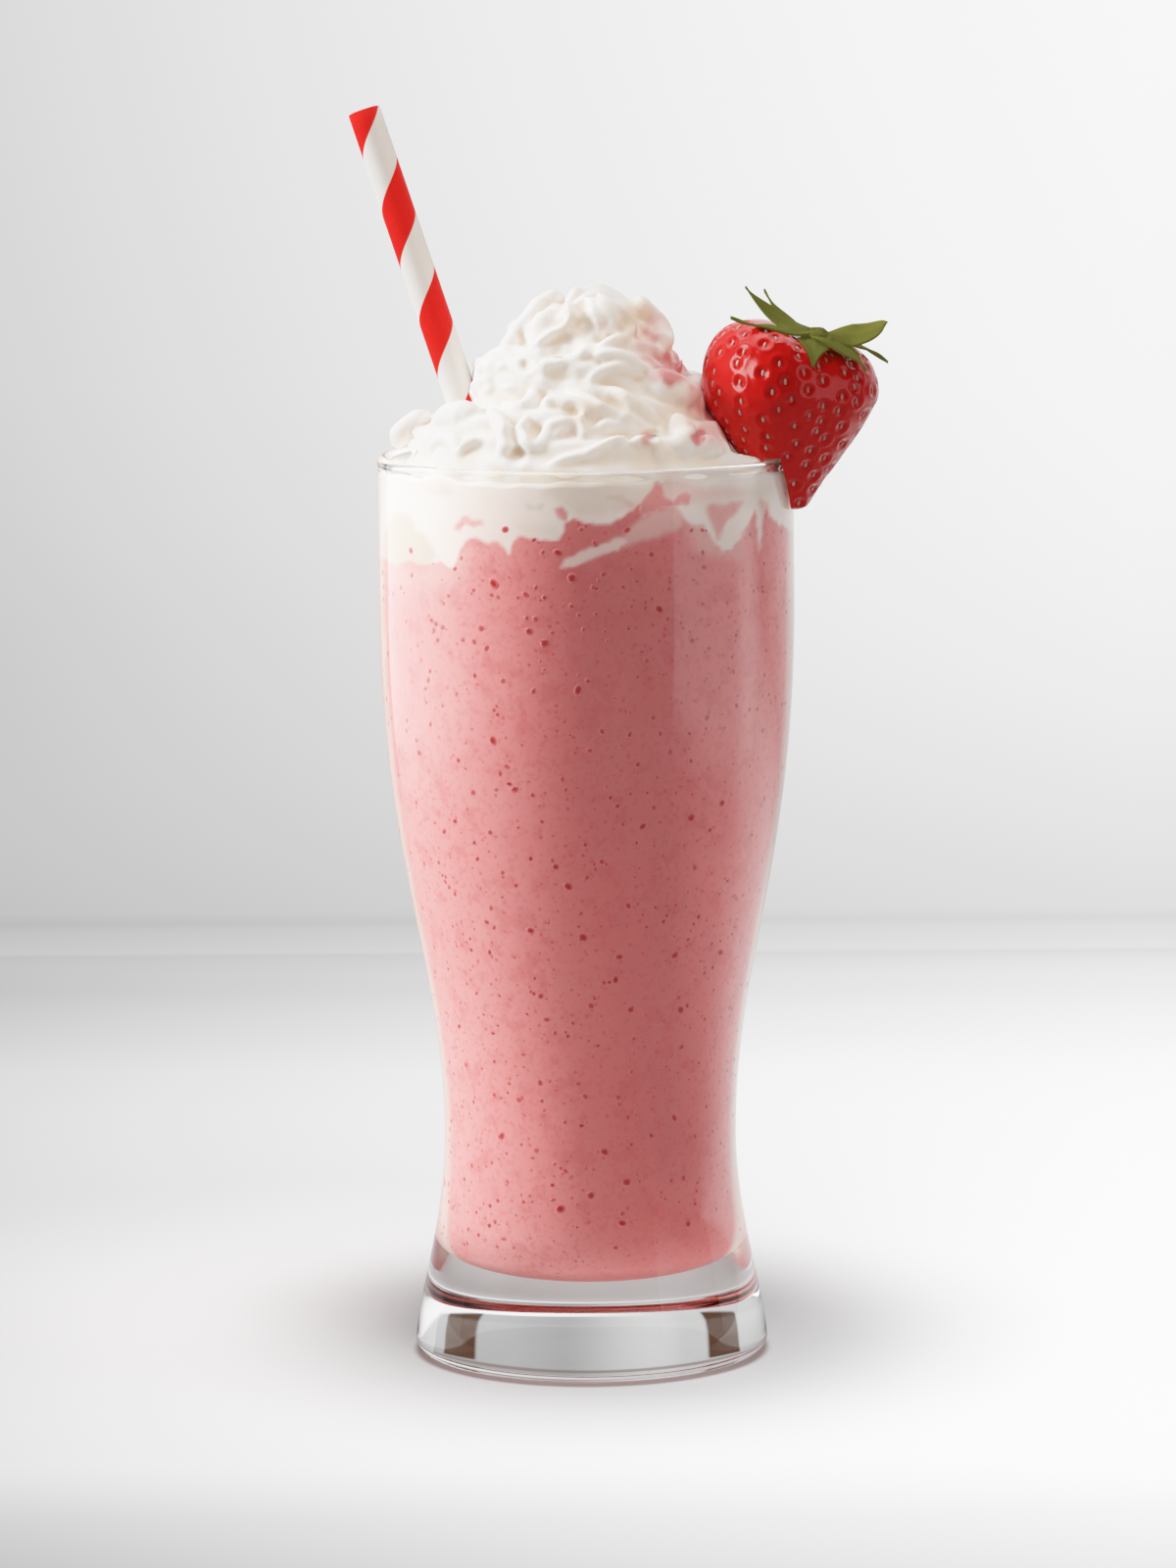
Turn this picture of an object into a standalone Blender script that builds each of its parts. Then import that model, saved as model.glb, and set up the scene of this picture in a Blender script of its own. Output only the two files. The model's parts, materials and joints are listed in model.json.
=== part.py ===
"""Strawberry milkshake in a footed glass, with whipped cream, a striped straw and a strawberry on the rim.

Metres, +Z up. The origin is the middle of the glass's foot on the table, and -Y is the front.
"""

import math

import bmesh
import bpy
from mathutils import Matrix, Vector
from mathutils.bvhtree import BVHTree

MM = 0.001
GAP = 0.3 * MM  # clearance between pieces that touch

# Glass
GLASS_HEIGHT = 185.0 * MM
FOOT_RADIUS = 36.3 * MM
FOOT_EDGE = 2.6 * MM  # height and reach of the foot's rounded edge
FLARE_PULL = (35.2 * MM, 13.5 * MM)  # steers the foot's flare, as radius and height
WAIST_RADIUS = 30.0 * MM
WAIST_HEIGHT = 45.0 * MM
BELLY_RADIUS = 42.3 * MM
BELLY_HEIGHT = 155.0 * MM
NECK_INSET = 0.15 * MM  # the outside draws in this much below the lip
WALL = 2.3 * MM
LIP_RADIUS = 1.4 * MM  # of the rounded lip, a little fuller than the wall
LIP_FLARE = 0.2 * MM  # the lip stands out this much from the neck
CAVITY_BOTTOM = 16.5 * MM
CAVITY_DISH = 0.8 * MM  # the cavity's floor rises this much towards its rounded corner
CAVITY_CORNER = 12.0 * MM
GLASS_SIDES = 48

# Drink
DRINK_LEVEL = 171.5 * MM
DRINK_SIDES = 40

# Straw: a paper tube that leans left and back
STRAW_RADIUS = 3.35 * MM
STRAW_WALL = 0.4 * MM
STRAW_LENGTH = 197.0 * MM
STRAW_TOP = Vector((-44.6, 12.0, 254.2)) * MM
STRAW_LEAN_SIDE = math.radians(18.4)
STRAW_LEAN_BACK = math.radians(8.0)
STRAW_SIDES = 24

# Whipped cream: a star-shaped rope piped in tiers, over a filled bed
ROPE_LOBES = 8
ROPE_GROOVE = 0.30  # depth of the grooves, as a share of the rope's radius
BED_TOP = 183.0 * MM
CREAM_VOXEL = 1.0 * MM
CREAM_SOFTEN = 4  # smoothing steps after the remesh
CREAM_KEEP = 0.078  # share of the remeshed faces that is kept

# Strawberry, hung on the rim by a slit
BERRY_MIDDLE = Vector((41.0, -8.6, 194.5)) * MM
BERRY_HALF_WIDTH = 17.8 * MM
BERRY_HALF_DEPTH = 15.4 * MM
BERRY_WIDEST = 4.0 * MM  # above the middle
BERRY_TOP = 17.6 * MM  # above the middle
BERRY_TIP = 20.2 * MM  # below the middle
BERRY_TIP_SHIFT = 0.6 * MM  # the tip lies to the right of the middle
BERRY_TILT = 0.17  # the top falls this much for each step to the right
BERRY_GROOVE = 0.15  # depth of the groove between its lobes, as a share of the half width
BERRY_GROOVES = ((-62, 24), (112, 30))  # where the grooves run, as heading and width in degrees
BERRY_HOLLOW = (3.2 * MM, 7.5 * MM)  # depth and reach of the hollow round the calyx
BERRY_COLUMNS = 38
BERRY_ROWS = 24
DIMPLE_DEPTH = 0.45 * MM
CALYX_PLACE = Vector((46.4, -12.5, 210.4)) * MM
CALYX_RADIUS = 3.6 * MM
CALYX_HEIGHT = 1.9 * MM
SEPAL_THICKNESS = 0.55 * MM
SEPAL_CLEARANCE = GAP + SEPAL_THICKNESS  # from the strawberry to a sepal's middle
SEPAL_ROOT = 0.22  # sets how wide a sepal is at the calyx
SEPAL_POINT = 0.10  # width of its tip, as a share of its full width
STEEPEST = 0.25  # the upward share of the strawberry's normal that still carries a sepal


def clear_scene():
    for obj in list(bpy.data.objects):
        bpy.data.objects.remove(obj)


def material(name, color, roughness, transmission=0.0):
    made = bpy.data.materials.new(name)
    made.use_nodes = True
    shader = made.node_tree.nodes["Principled BSDF"]
    shader.inputs["Base Color"].default_value = (*color, 1.0)
    shader.inputs["Roughness"].default_value = roughness
    shader.inputs["Metallic"].default_value = 0.0
    shader.inputs["Transmission Weight"].default_value = transmission
    made.diffuse_color = (*color, 1.0)
    return made


def add_object(name, bm, finish=None, smooth=True):
    mesh = bpy.data.meshes.new(name)
    bm.to_mesh(mesh)
    bm.free()
    if smooth:
        mesh.shade_smooth()
        mesh.set_sharp_from_angle(angle=math.radians(40))
    obj = bpy.data.objects.new(name, mesh)
    bpy.context.scene.collection.objects.link(obj)
    if finish:
        mesh.materials.append(finish)
    return obj


def as_cutter(obj):
    obj.hide_render = True
    obj.display_type = "WIRE"
    return obj


def lathe(outline, sides):
    """A closed turned body from (radius, height) points that start and end on the axis, bottom to top outside."""
    bm = bmesh.new()
    verts = [bm.verts.new((radius, 0.0, height)) for radius, height in outline]
    edges = [bm.edges.new(pair) for pair in zip(verts, verts[1:])]
    bmesh.ops.spin(
        bm,
        geom=verts + edges,
        cent=(0, 0, 0),
        axis=(0, 0, 1),
        angle=math.tau,
        steps=sides,
        use_merge=True,
        use_duplicate=False,
    )
    bmesh.ops.remove_doubles(bm, verts=bm.verts, dist=0.01 * MM)
    bmesh.ops.recalc_face_normals(bm, faces=bm.faces)
    return bm


def bezier(start, pull_start, pull_end, end, steps):
    """Points along a cubic curve, without the first."""
    points = []
    for i in range(1, steps + 1):
        t = i / steps
        weights = ((1 - t) ** 3, 3 * t * (1 - t) ** 2, 3 * t * t * (1 - t), t**3)
        corners = (start, pull_start, pull_end, end)
        points.append(tuple(sum(w * p[k] for w, p in zip(weights, corners)) for k in range(2)))
    return points


def arc(center, reach, start_deg, end_deg, steps):
    """Points on an ellipse about center, angles from +radius towards +height, both ends included."""
    points = []
    for i in range(steps + 1):
        angle = math.radians(start_deg + (end_deg - start_deg) * i / steps)
        points.append((center[0] + reach[0] * math.cos(angle), center[1] + reach[1] * math.sin(angle)))
    return points


def belly_curve(waist, belly, steps):
    """The S-shaped stretch from the waist to the belly, for the outside and the inside alike."""
    rise = belly[1] - waist[1]
    pull_low = (waist[0], waist[1] + rise / 3)
    pull_high = (belly[0], belly[1] - rise / 2)
    return bezier(waist, pull_low, pull_high, belly, steps)


def outer_outline():
    """The glass's outside, from the middle of the underside up to the lip."""
    flat_radius = FOOT_RADIUS - FOOT_EDGE
    points = [(0.0, 0.0)]
    points += arc((flat_radius, FOOT_EDGE), (FOOT_EDGE, FOOT_EDGE), -90, 0, 4)
    foot = points[-1]
    waist = (WAIST_RADIUS, WAIST_HEIGHT)
    belly = (BELLY_RADIUS, BELLY_HEIGHT)
    points += bezier(foot, FLARE_PULL, (WAIST_RADIUS, WAIST_HEIGHT * 0.62), waist, 5)
    points += belly_curve(waist, belly, 9)
    points.append((BELLY_RADIUS - NECK_INSET, GLASS_HEIGHT - 3.2 * LIP_RADIUS))
    return points


def cavity_outline():
    """The glass's inside, from the middle of its bottom up to just below the lip."""
    waist_radius = WAIST_RADIUS - WALL
    corner = (waist_radius - CAVITY_CORNER, CAVITY_BOTTOM + CAVITY_DISH + CAVITY_CORNER)
    points = [(0.0, CAVITY_BOTTOM)]
    points += arc(corner, (CAVITY_CORNER, CAVITY_CORNER), -90, -8, 5)
    points.append((waist_radius, WAIST_HEIGHT))
    points += belly_curve(points[-1], (BELLY_RADIUS - WALL, BELLY_HEIGHT), 8)
    points.append((BELLY_RADIUS - NECK_INSET - WALL, GLASS_HEIGHT - 3.2 * LIP_RADIUS))
    return points


def cavity_radius(height):
    """Inner radius of the glass at a height."""
    outline = cavity_outline()
    for (r0, z0), (r1, z1) in zip(outline, outline[1:]):
        if z0 <= height <= z1:
            return r0 + (r1 - r0) * (height - z0) / (z1 - z0)
    return outline[-1][0]


def build_glass(finish):
    outer = outer_outline()
    lip_middle = (outer[-1][0] + LIP_FLARE - LIP_RADIUS, GLASS_HEIGHT - LIP_RADIUS)
    lip = arc(lip_middle, (LIP_RADIUS, LIP_RADIUS), -15, 195, 6)
    inner = list(reversed(cavity_outline()))
    return add_object("glass", lathe(outer + lip + inner, GLASS_SIDES), finish)


def level_wave(place):
    """How far the border between drink and cream strays from the level, most at the wall."""
    angle = math.atan2(place.y, place.x)
    share = (place.length / cavity_radius(DRINK_LEVEL)) ** 2
    ripple = 1.3 * math.sin(3 * angle + 0.6) + 0.9 * math.sin(5 * angle + 2.1) + 0.6 * math.sin(9 * angle)
    drips = 0.0
    for at_deg, depth, width_deg in ((-139, 4.6, 8), (-48, 3.4, 9), (-83, 1.6, 9), (35, 4.0, 10), (120, 3.2, 9)):
        off = math.degrees(math.remainder(angle - math.radians(at_deg), math.tau))
        drips += depth * math.exp(-((off / width_deg) ** 2))
    return share * (ripple - drips) * MM


def wave_level(bm, level):
    """Bends the flat rings at that level into the wavy border."""
    for vert in bm.verts:
        if abs(vert.co.z - level) < 0.01 * MM:
            vert.co.z += level_wave(vert.co.xy)


def level_rings(level, wall_radius):
    """The flat surface at that level, from the wall to the axis."""
    return [(wall_radius * share, level) for share in (1.0, 0.8, 0.5, 0.0)]


def build_drink(finish, straw_cutter):
    wall = [(max(r - GAP, 0.0), z) for r, z in cavity_outline() if z < DRINK_LEVEL - 8 * MM]
    wall[0] = (0.0, CAVITY_BOTTOM + GAP)
    wall[1] = (wall[1][0], wall[1][1] + GAP)
    wall.append((cavity_radius(DRINK_LEVEL) - GAP, DRINK_LEVEL - 8 * MM))
    top = level_rings(DRINK_LEVEL, cavity_radius(DRINK_LEVEL) - GAP)
    bm = lathe(wall + top, DRINK_SIDES)
    wave_level(bm, DRINK_LEVEL)
    bmesh.ops.triangulate(bm, faces=bm.faces)
    drink = add_object("milkshake", bm, finish)
    cut(drink, straw_cutter)
    return drink


def straw_frame():
    """Places a straw built along -Z from its top end."""
    side = Matrix.Rotation(-STRAW_LEAN_SIDE, 4, "Y")
    back = Matrix.Rotation(-STRAW_LEAN_BACK, 4, "X")
    return Matrix.Translation(STRAW_TOP) @ back @ side


def tube_outline(outer, inner, low, high):
    return [(inner, low), (outer, low), (outer, high), (inner, high), (inner, low)]


def ring(outer, inner, low, high, sides):
    """A closed turned ring that doesn't reach the axis."""
    bm = bmesh.new()
    corners = tube_outline(outer, inner, low, high)[:-1]
    verts = [bm.verts.new((radius, 0.0, height)) for radius, height in corners]
    edges = [bm.edges.new((verts[i], verts[(i + 1) % len(verts)])) for i in range(len(verts))]
    bmesh.ops.spin(
        bm,
        geom=verts + edges,
        cent=(0, 0, 0),
        axis=(0, 0, 1),
        angle=math.tau,
        steps=sides,
        use_merge=True,
        use_duplicate=False,
    )
    bmesh.ops.remove_doubles(bm, verts=bm.verts, dist=0.01 * MM)
    bmesh.ops.recalc_face_normals(bm, faces=bm.faces)
    return bm


def build_straw(finish):
    bm = ring(STRAW_RADIUS, STRAW_RADIUS - STRAW_WALL, -STRAW_LENGTH, 0.0, STRAW_SIDES)
    straw = add_object("straw", bm, finish)
    straw.matrix_world = straw_frame()
    return straw


def build_straw_cutter():
    """The straw's outer cylinder, a little wider and longer."""
    bm = bmesh.new()
    bmesh.ops.create_cone(
        bm,
        cap_ends=True,
        segments=STRAW_SIDES,
        radius1=STRAW_RADIUS + GAP,
        radius2=STRAW_RADIUS + GAP,
        depth=STRAW_LENGTH + 2 * GAP,
        matrix=Matrix.Translation((0, 0, -STRAW_LENGTH / 2)),
    )
    cutter = add_object("straw_cutter", bm)
    cutter.matrix_world = straw_frame()
    return as_cutter(cutter)


def cut(obj, cutter, operation="DIFFERENCE"):
    step = obj.modifiers.new(operation.title(), "BOOLEAN")
    step.operation = operation
    step.object = cutter
    step.solver = "EXACT"


def rope_path():
    """The piped rope's centreline: (point, rope radius, twist) from the first tier up to the peak."""
    stops = (
        # turns, ring radius, height above the rim, rope radius, all in mm
        (0.00, 28.2, -3.0, 9.6),
        (0.50, 28.0, -2.2, 10.6),
        (1.00, 25.5, 0.5, 10.2),
        (1.35, 17.5, 7.5, 10.2),
        (1.70, 14.0, 11.5, 10.2),
        (2.20, 12.0, 14.5, 9.8),
        (2.55, 8.0, 18.5, 9.8),
        (2.95, 6.0, 21.5, 9.4),
        (3.30, 4.4, 24.6, 8.6),
        (3.60, 2.6, 28.4, 6.0),
        (3.80, 0.8, 32.6, 1.4),
    )
    start_deg = -150
    path = []
    steps_per_turn = 22
    steps = round(stops[-1][0] * steps_per_turn)
    for i in range(steps + 1):
        turns = min(i / steps_per_turn, stops[-1][0])
        low = max(k for k in range(len(stops) - 1) if stops[k][0] <= turns + 1e-9)
        a, b = stops[low], stops[low + 1]
        t = (turns - a[0]) / (b[0] - a[0])
        ease = t * t * (3 - 2 * t)
        ring_radius, lift, radius = (a[k] + (b[k] - a[k]) * ease for k in (1, 2, 3))
        angle = math.radians(start_deg) + math.tau * turns
        point = Vector((ring_radius * math.cos(angle), ring_radius * math.sin(angle), lift)) * MM
        point.z += GLASS_HEIGHT
        path.append((point, radius * MM, turns * 7.5))
    return path


def star_section():
    """A closed star-shaped curve of radius 1 mm, which the rope is swept with."""
    data = bpy.data.curves.new("star_section", "CURVE")
    data.dimensions = "2D"
    count = ROPE_LOBES * 2
    spline = data.splines.new("POLY")
    spline.points.add(count - 1)
    for i, point in enumerate(spline.points):
        radius = MM * (1.0 if i % 2 == 0 else 1.0 - ROPE_GROOVE)
        angle = math.tau * i / count
        point.co = (radius * math.cos(angle), radius * math.sin(angle), 0.0, 1.0)
    spline.use_cyclic_u = True
    section = bpy.data.objects.new("star_section", data)
    bpy.context.scene.collection.objects.link(section)
    return as_cutter(section)


def mesh_of(obj):
    """The evaluated object as a new mesh in world space."""
    bpy.context.view_layer.update()
    evaluated = obj.evaluated_get(bpy.context.evaluated_depsgraph_get())
    mesh = bpy.data.meshes.new_from_object(evaluated)
    mesh.transform(obj.matrix_world)
    return mesh


def rope_mesh():
    data = bpy.data.curves.new("rope", "CURVE")
    data.dimensions = "3D"
    data.twist_mode = "Z_UP"
    section = star_section()
    data.bevel_mode = "OBJECT"
    data.bevel_object = section
    data.use_fill_caps = True
    path = rope_path()
    spline = data.splines.new("POLY")
    spline.points.add(len(path) - 1)
    for point, (place, radius, twist) in zip(spline.points, path):
        point.co = (*place, 1.0)
        point.radius = radius / MM
        point.tilt = twist
    rope = bpy.data.objects.new("rope", data)
    bpy.context.scene.collection.objects.link(rope)
    mesh = mesh_of(rope)
    bpy.data.objects.remove(rope)
    bpy.data.objects.remove(section)
    return mesh


def add_core(bm):
    """What the rope was piped over: the bed that fills the glass's mouth, and a cone inside the tiers."""
    wall = cavity_radius(BED_TOP) + 2 * MM
    shape = [
        (0.0, DRINK_LEVEL - 12 * MM),
        (wall, DRINK_LEVEL - 12 * MM),
        (wall, BED_TOP - 1.5 * MM),
        (wall - 4 * MM, BED_TOP),
        (30 * MM, BED_TOP + 6 * MM),
        (22 * MM, GLASS_HEIGHT + 10 * MM),
        (10 * MM, GLASS_HEIGHT + 22 * MM),
        (0.0, GLASS_HEIGHT + 26 * MM),
    ]
    core = lathe(shape, 32)
    mesh = bpy.data.meshes.new("core")
    core.to_mesh(mesh)
    core.free()
    bm.from_mesh(mesh)
    bpy.data.meshes.remove(mesh)


def build_mould():
    """The space that cream can take: inside the wall, above the drink's wavy surface."""
    wall = cavity_radius(DRINK_LEVEL) - GAP
    mouth = cavity_radius(GLASS_HEIGHT) - LIP_RADIUS * 0.35 - GAP
    border = DRINK_LEVEL + GAP
    outline = list(reversed(level_rings(border, wall)))
    outline += [(wall, GLASS_HEIGHT - 4 * LIP_RADIUS), (mouth, GLASS_HEIGHT - 2 * LIP_RADIUS)]
    outline += [(mouth, GLASS_HEIGHT + 45 * MM), (0.0, GLASS_HEIGHT + 45 * MM)]
    bm = lathe(outline, DRINK_SIDES)
    wave_level(bm, border)
    bmesh.ops.triangulate(bm, faces=bm.faces)
    return as_cutter(add_object("cream_mould", bm))


def build_cream(finish, cutters):
    bm = bmesh.new()
    rope = rope_mesh()
    bm.from_mesh(rope)
    bpy.data.meshes.remove(rope)
    add_core(bm)
    cream = add_object("whipped_cream", bm, finish)
    remesh = cream.modifiers.new("Merge", "REMESH")
    remesh.mode = "VOXEL"
    remesh.voxel_size = CREAM_VOXEL
    soften = cream.modifiers.new("Soften", "SMOOTH")
    soften.factor = 0.5
    soften.iterations = CREAM_SOFTEN
    fewer = cream.modifiers.new("Fewer", "DECIMATE")
    fewer.ratio = CREAM_KEEP
    fewer.use_collapse_triangulate = True
    cut(cream, build_mould(), "INTERSECT")
    for cutter in cutters:
        cut(cream, cutter)
    return cream


def berry_outline():
    """Half width and height about the middle, from the top down to the tip, one for each row."""
    shoulder = (BERRY_HALF_WIDTH, BERRY_TOP * 0.80)
    widest = (BERRY_HALF_WIDTH, BERRY_WIDEST)
    upper_rows = BERRY_ROWS // 3
    points = [(0.0, BERRY_TOP)]
    points += bezier(points[0], (BERRY_HALF_WIDTH * 0.62, BERRY_TOP), shoulder, widest, upper_rows)
    low = (BERRY_HALF_WIDTH * 0.36, -BERRY_TIP * 0.66)
    waist = (BERRY_HALF_WIDTH, BERRY_WIDEST - BERRY_TIP * 0.28)
    nose = (BERRY_HALF_WIDTH * 0.17, -BERRY_TIP * 0.97)
    points += bezier(widest, waist, low, nose, BERRY_ROWS - upper_rows - 1)
    points.append((0.0, -BERRY_TIP))
    return points


def berry_place(width, height, azimuth):
    """Where a turned point goes: the lobes, the hollow round the calyx, the tilted top and the bent tip."""
    groove = 0.0
    for at_deg, reach_deg in BERRY_GROOVES:
        off = math.degrees(math.remainder(azimuth - math.radians(at_deg), math.tau))
        groove += math.exp(-((off / reach_deg) ** 2))
    top_share = (height + BERRY_TIP) / (BERRY_TOP + BERRY_TIP)
    swell = 1 - BERRY_GROOVE * groove * top_share + 0.02 * math.sin(3 * azimuth + 0.8)
    x = width * math.cos(azimuth) * swell
    y = width * math.sin(azimuth) * swell * BERRY_HALF_DEPTH / BERRY_HALF_WIDTH
    calyx = CALYX_PLACE - BERRY_MIDDLE
    off_calyx = Vector((x - calyx.x, y - calyx.y)).length / BERRY_HOLLOW[1]
    above = max(0.0, height / BERRY_TOP)
    z = height - BERRY_HOLLOW[0] * math.exp(-(off_calyx**2)) * above - BERRY_TILT * x * above
    below = max(0.0, -height / BERRY_TIP)
    return Vector((x + BERRY_TIP_SHIFT * below, y, z))


def berry_bmesh(dimpled=True, grow=0.0):
    """The strawberry, with dimples or plain and that much larger all round."""
    bm = lathe([(width, -height) for width, height in berry_outline()], BERRY_COLUMNS)
    outline = berry_outline()
    for vert in bm.verts:
        flat = vert.co.xy.length
        row = min(range(len(outline)), key=lambda i: abs(outline[i][1] + vert.co.z))
        azimuth = math.atan2(vert.co.y, vert.co.x)
        column = round(azimuth / math.tau * BERRY_COLUMNS)
        place = berry_place(flat, -vert.co.z, azimuth)
        if dimpled and 2 < row < BERRY_ROWS - 1 and row % 2 == 0 and (column + row // 2) % 2 == 0:
            place *= 1 - DIMPLE_DEPTH / place.length
        vert.co = BERRY_MIDDLE + place
    bmesh.ops.recalc_face_normals(bm, faces=bm.faces)
    if grow:
        bm.normal_update()
        for vert, normal in [(vert, vert.normal.copy()) for vert in bm.verts]:
            vert.co += normal * grow
    bmesh.ops.triangulate(bm, faces=bm.faces)
    return bm


def build_rim_cutter():
    """The rim's own wall with clearance, which makes the slit in the strawberry."""
    outer = BELLY_RADIUS + 0.15 * MM + GAP
    inner = outer - 2 * LIP_RADIUS - 2.5 * GAP
    bm = ring(outer, inner, GLASS_HEIGHT - 60 * MM, GLASS_HEIGHT + GAP, 96)
    return as_cutter(add_object("rim_cutter", bm))


def build_berry(finish):
    berry = add_object("strawberry", berry_bmesh(), finish)
    cut(berry, build_rim_cutter())
    return berry


def build_berry_cutter():
    """The strawberry's plain form, a little larger, which makes its pocket in the cream."""
    bm = berry_bmesh(dimpled=False, grow=GAP)
    return as_cutter(add_object("berry_cutter", bm))


def clear_of(tree, place, clearance):
    """The place itself, or lifted to that clearance above the strawberry."""
    above = Vector((place.x, place.y, CALYX_PLACE.z + 50 * MM))
    below, normal, _, _ = tree.ray_cast(above, Vector((0, 0, -1)))
    if below is None:
        return place
    lowest = below.z + clearance / max(normal.z, STEEPEST)
    return Vector((place.x, place.y, max(place.z, lowest)))


def sepal(name, tree, heading_deg, length, width, lift, curl, roll_deg, blunt):
    """A leaf from the calyx out at that heading, lifting and curling towards its tip, rolled about its midrib."""
    bm = bmesh.new()
    bmesh.ops.create_grid(bm, x_segments=8, y_segments=2, size=1.0)
    heading = Matrix.Rotation(math.radians(heading_deg), 4, "Z")
    for vert in bm.verts:
        t = (vert.co.x + 1) / 2
        side = vert.co.y
        swell = math.pi * (SEPAL_ROOT + (1 - SEPAL_ROOT) * t ** (2.4 if blunt else 0.8))
        taper = math.sin(swell) ** (0.7 if blunt else 1.0) if swell < math.pi else 0.0
        half = width * MM / 2 * max(SEPAL_POINT, taper)
        run = length * MM * t
        rise = lift * MM * t + curl * MM * t**3 - 1.4 * MM * t * (1 - t)
        ripple = 0.35 * MM * math.sin(9 * t + heading_deg) * side
        across = Matrix.Rotation(math.radians(roll_deg) * min(1.0, 2 * t), 4, "X")
        blade = across @ Vector((0.0, side * half, ripple - abs(side) * 0.12 * half))
        flat = heading @ (Vector((run, 0.0, rise)) + blade)
        vert.co = clear_of(tree, CALYX_PLACE + flat, SEPAL_CLEARANCE)
    bmesh.ops.triangulate(bm, faces=bm.faces)
    leaf = add_object(name, bm)
    thick = leaf.modifiers.new("Thickness", "SOLIDIFY")
    thick.thickness = SEPAL_THICKNESS
    thick.offset = 0.0
    return leaf


def build_calyx(finish):
    leaves = bpy.data.collections.new("sepals")
    bpy.context.scene.collection.children.link(leaves)
    shapes = (
        # heading, length, width, lift, curl, roll, blunt tip
        (168, 14.2, 5.6, 4.9, 4.0, -30, False),
        (197, 18.0, 3.8, 2.6, 0.6, -12, False),
        (264, 9.0, 7.0, -2.4, -4.0, 0, False),
        (329, 11.4, 7.8, -3.0, -4.2, -2, False),
        (350, 14.2, 6.2, -0.8, 2.6, 42, True),
        (22, 15.9, 3.8, -2.8, -3.9, 10, False),
        (76, 13.0, 5.4, -1.2, -1.6, 0, False),
        (150, 11.6, 3.8, 3.6, 4.4, 0, False),
    )
    tree = BVHTree.FromBMesh(berry_bmesh(dimpled=False))
    for i, shape in enumerate(shapes):
        leaf = sepal(f"sepal_{i}", tree, *shape)
        bpy.context.scene.collection.objects.unlink(leaf)
        leaves.objects.link(leaf)
    bm = bmesh.new()
    bmesh.ops.create_cone(
        bm,
        cap_ends=True,
        segments=14,
        radius1=CALYX_RADIUS,
        radius2=CALYX_RADIUS * 0.45,
        depth=CALYX_HEIGHT,
        matrix=Matrix.Translation(CALYX_PLACE),
    )
    for vert in bm.verts:
        vert.co = clear_of(tree, vert.co, 1.5 * GAP)
    bmesh.ops.triangulate(bm, faces=bm.faces)
    calyx = add_object("strawberry_leaves", bm, finish)
    join = calyx.modifiers.new("Join", "BOOLEAN")
    join.operation = "UNION"
    join.operand_type = "COLLECTION"
    join.collection = leaves
    join.solver = "EXACT"
    bpy.context.view_layer.update()
    joined = bpy.data.meshes.new_from_object(calyx.evaluated_get(bpy.context.evaluated_depsgraph_get()))
    calyx.modifiers.clear()
    calyx.data = joined
    for leaf in list(leaves.objects):
        bpy.data.objects.remove(leaf)
    bpy.data.collections.remove(leaves)
    return calyx


def main():
    clear_scene()
    clear_glass = material("clear glass", (0.95, 0.96, 0.96), 0.02, 1.0)
    pink_shake = material("strawberry shake", (0.80, 0.36, 0.36), 0.45)
    white_cream = material("whipped cream", (0.93, 0.90, 0.85), 0.5)
    striped_paper = material("striped paper", (0.85, 0.45, 0.42), 0.6)
    red_flesh = material("strawberry red", (0.62, 0.02, 0.015), 0.25)
    leaf_green = material("leaf green", (0.16, 0.20, 0.03), 0.5)
    build_glass(clear_glass)
    straw_cutter = build_straw_cutter()
    build_straw(striped_paper)
    build_drink(pink_shake, straw_cutter)
    build_cream(white_cream, [straw_cutter, build_berry_cutter()])
    build_berry(red_flesh)
    build_calyx(leaf_green)


main()
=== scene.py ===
"""The looks of a strawberry milkshake: glass, shake, whipped cream, striped straw and strawberry, on a pale stage."""

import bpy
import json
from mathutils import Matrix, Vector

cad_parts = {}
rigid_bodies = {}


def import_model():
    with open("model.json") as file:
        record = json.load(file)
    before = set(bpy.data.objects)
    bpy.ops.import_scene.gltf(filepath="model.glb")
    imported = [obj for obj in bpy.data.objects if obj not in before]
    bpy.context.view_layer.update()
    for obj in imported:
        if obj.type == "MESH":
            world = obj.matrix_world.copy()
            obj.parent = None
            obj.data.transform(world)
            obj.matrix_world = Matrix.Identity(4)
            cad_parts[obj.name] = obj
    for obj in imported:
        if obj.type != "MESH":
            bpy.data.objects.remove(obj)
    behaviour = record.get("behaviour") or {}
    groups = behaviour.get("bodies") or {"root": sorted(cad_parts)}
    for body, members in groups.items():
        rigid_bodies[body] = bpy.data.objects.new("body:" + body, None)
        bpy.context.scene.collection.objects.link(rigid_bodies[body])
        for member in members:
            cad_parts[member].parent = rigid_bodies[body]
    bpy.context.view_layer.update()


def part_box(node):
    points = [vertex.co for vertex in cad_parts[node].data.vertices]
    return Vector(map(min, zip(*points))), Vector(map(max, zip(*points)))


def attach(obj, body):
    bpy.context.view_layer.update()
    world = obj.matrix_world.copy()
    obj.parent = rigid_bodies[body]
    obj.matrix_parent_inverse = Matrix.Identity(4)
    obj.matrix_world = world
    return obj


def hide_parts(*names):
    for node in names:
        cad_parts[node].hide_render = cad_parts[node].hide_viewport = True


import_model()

import json
import math
import random

import bmesh
import bpy
from mathutils import Matrix, Vector, noise
from mathutils.bvhtree import BVHTree
from mathutils.kdtree import KDTree

bl_info = {
    "name": "Strawberry Milkshake",
    "version": (1, 0, 0),
    "blender": (4, 5, 0),
    "location": "3D View > Sidebar > Milkshake",
    "description": "Builds the pieces and finishes of a strawberry milkshake around its solid model",
    "category": "Object",
}

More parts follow.
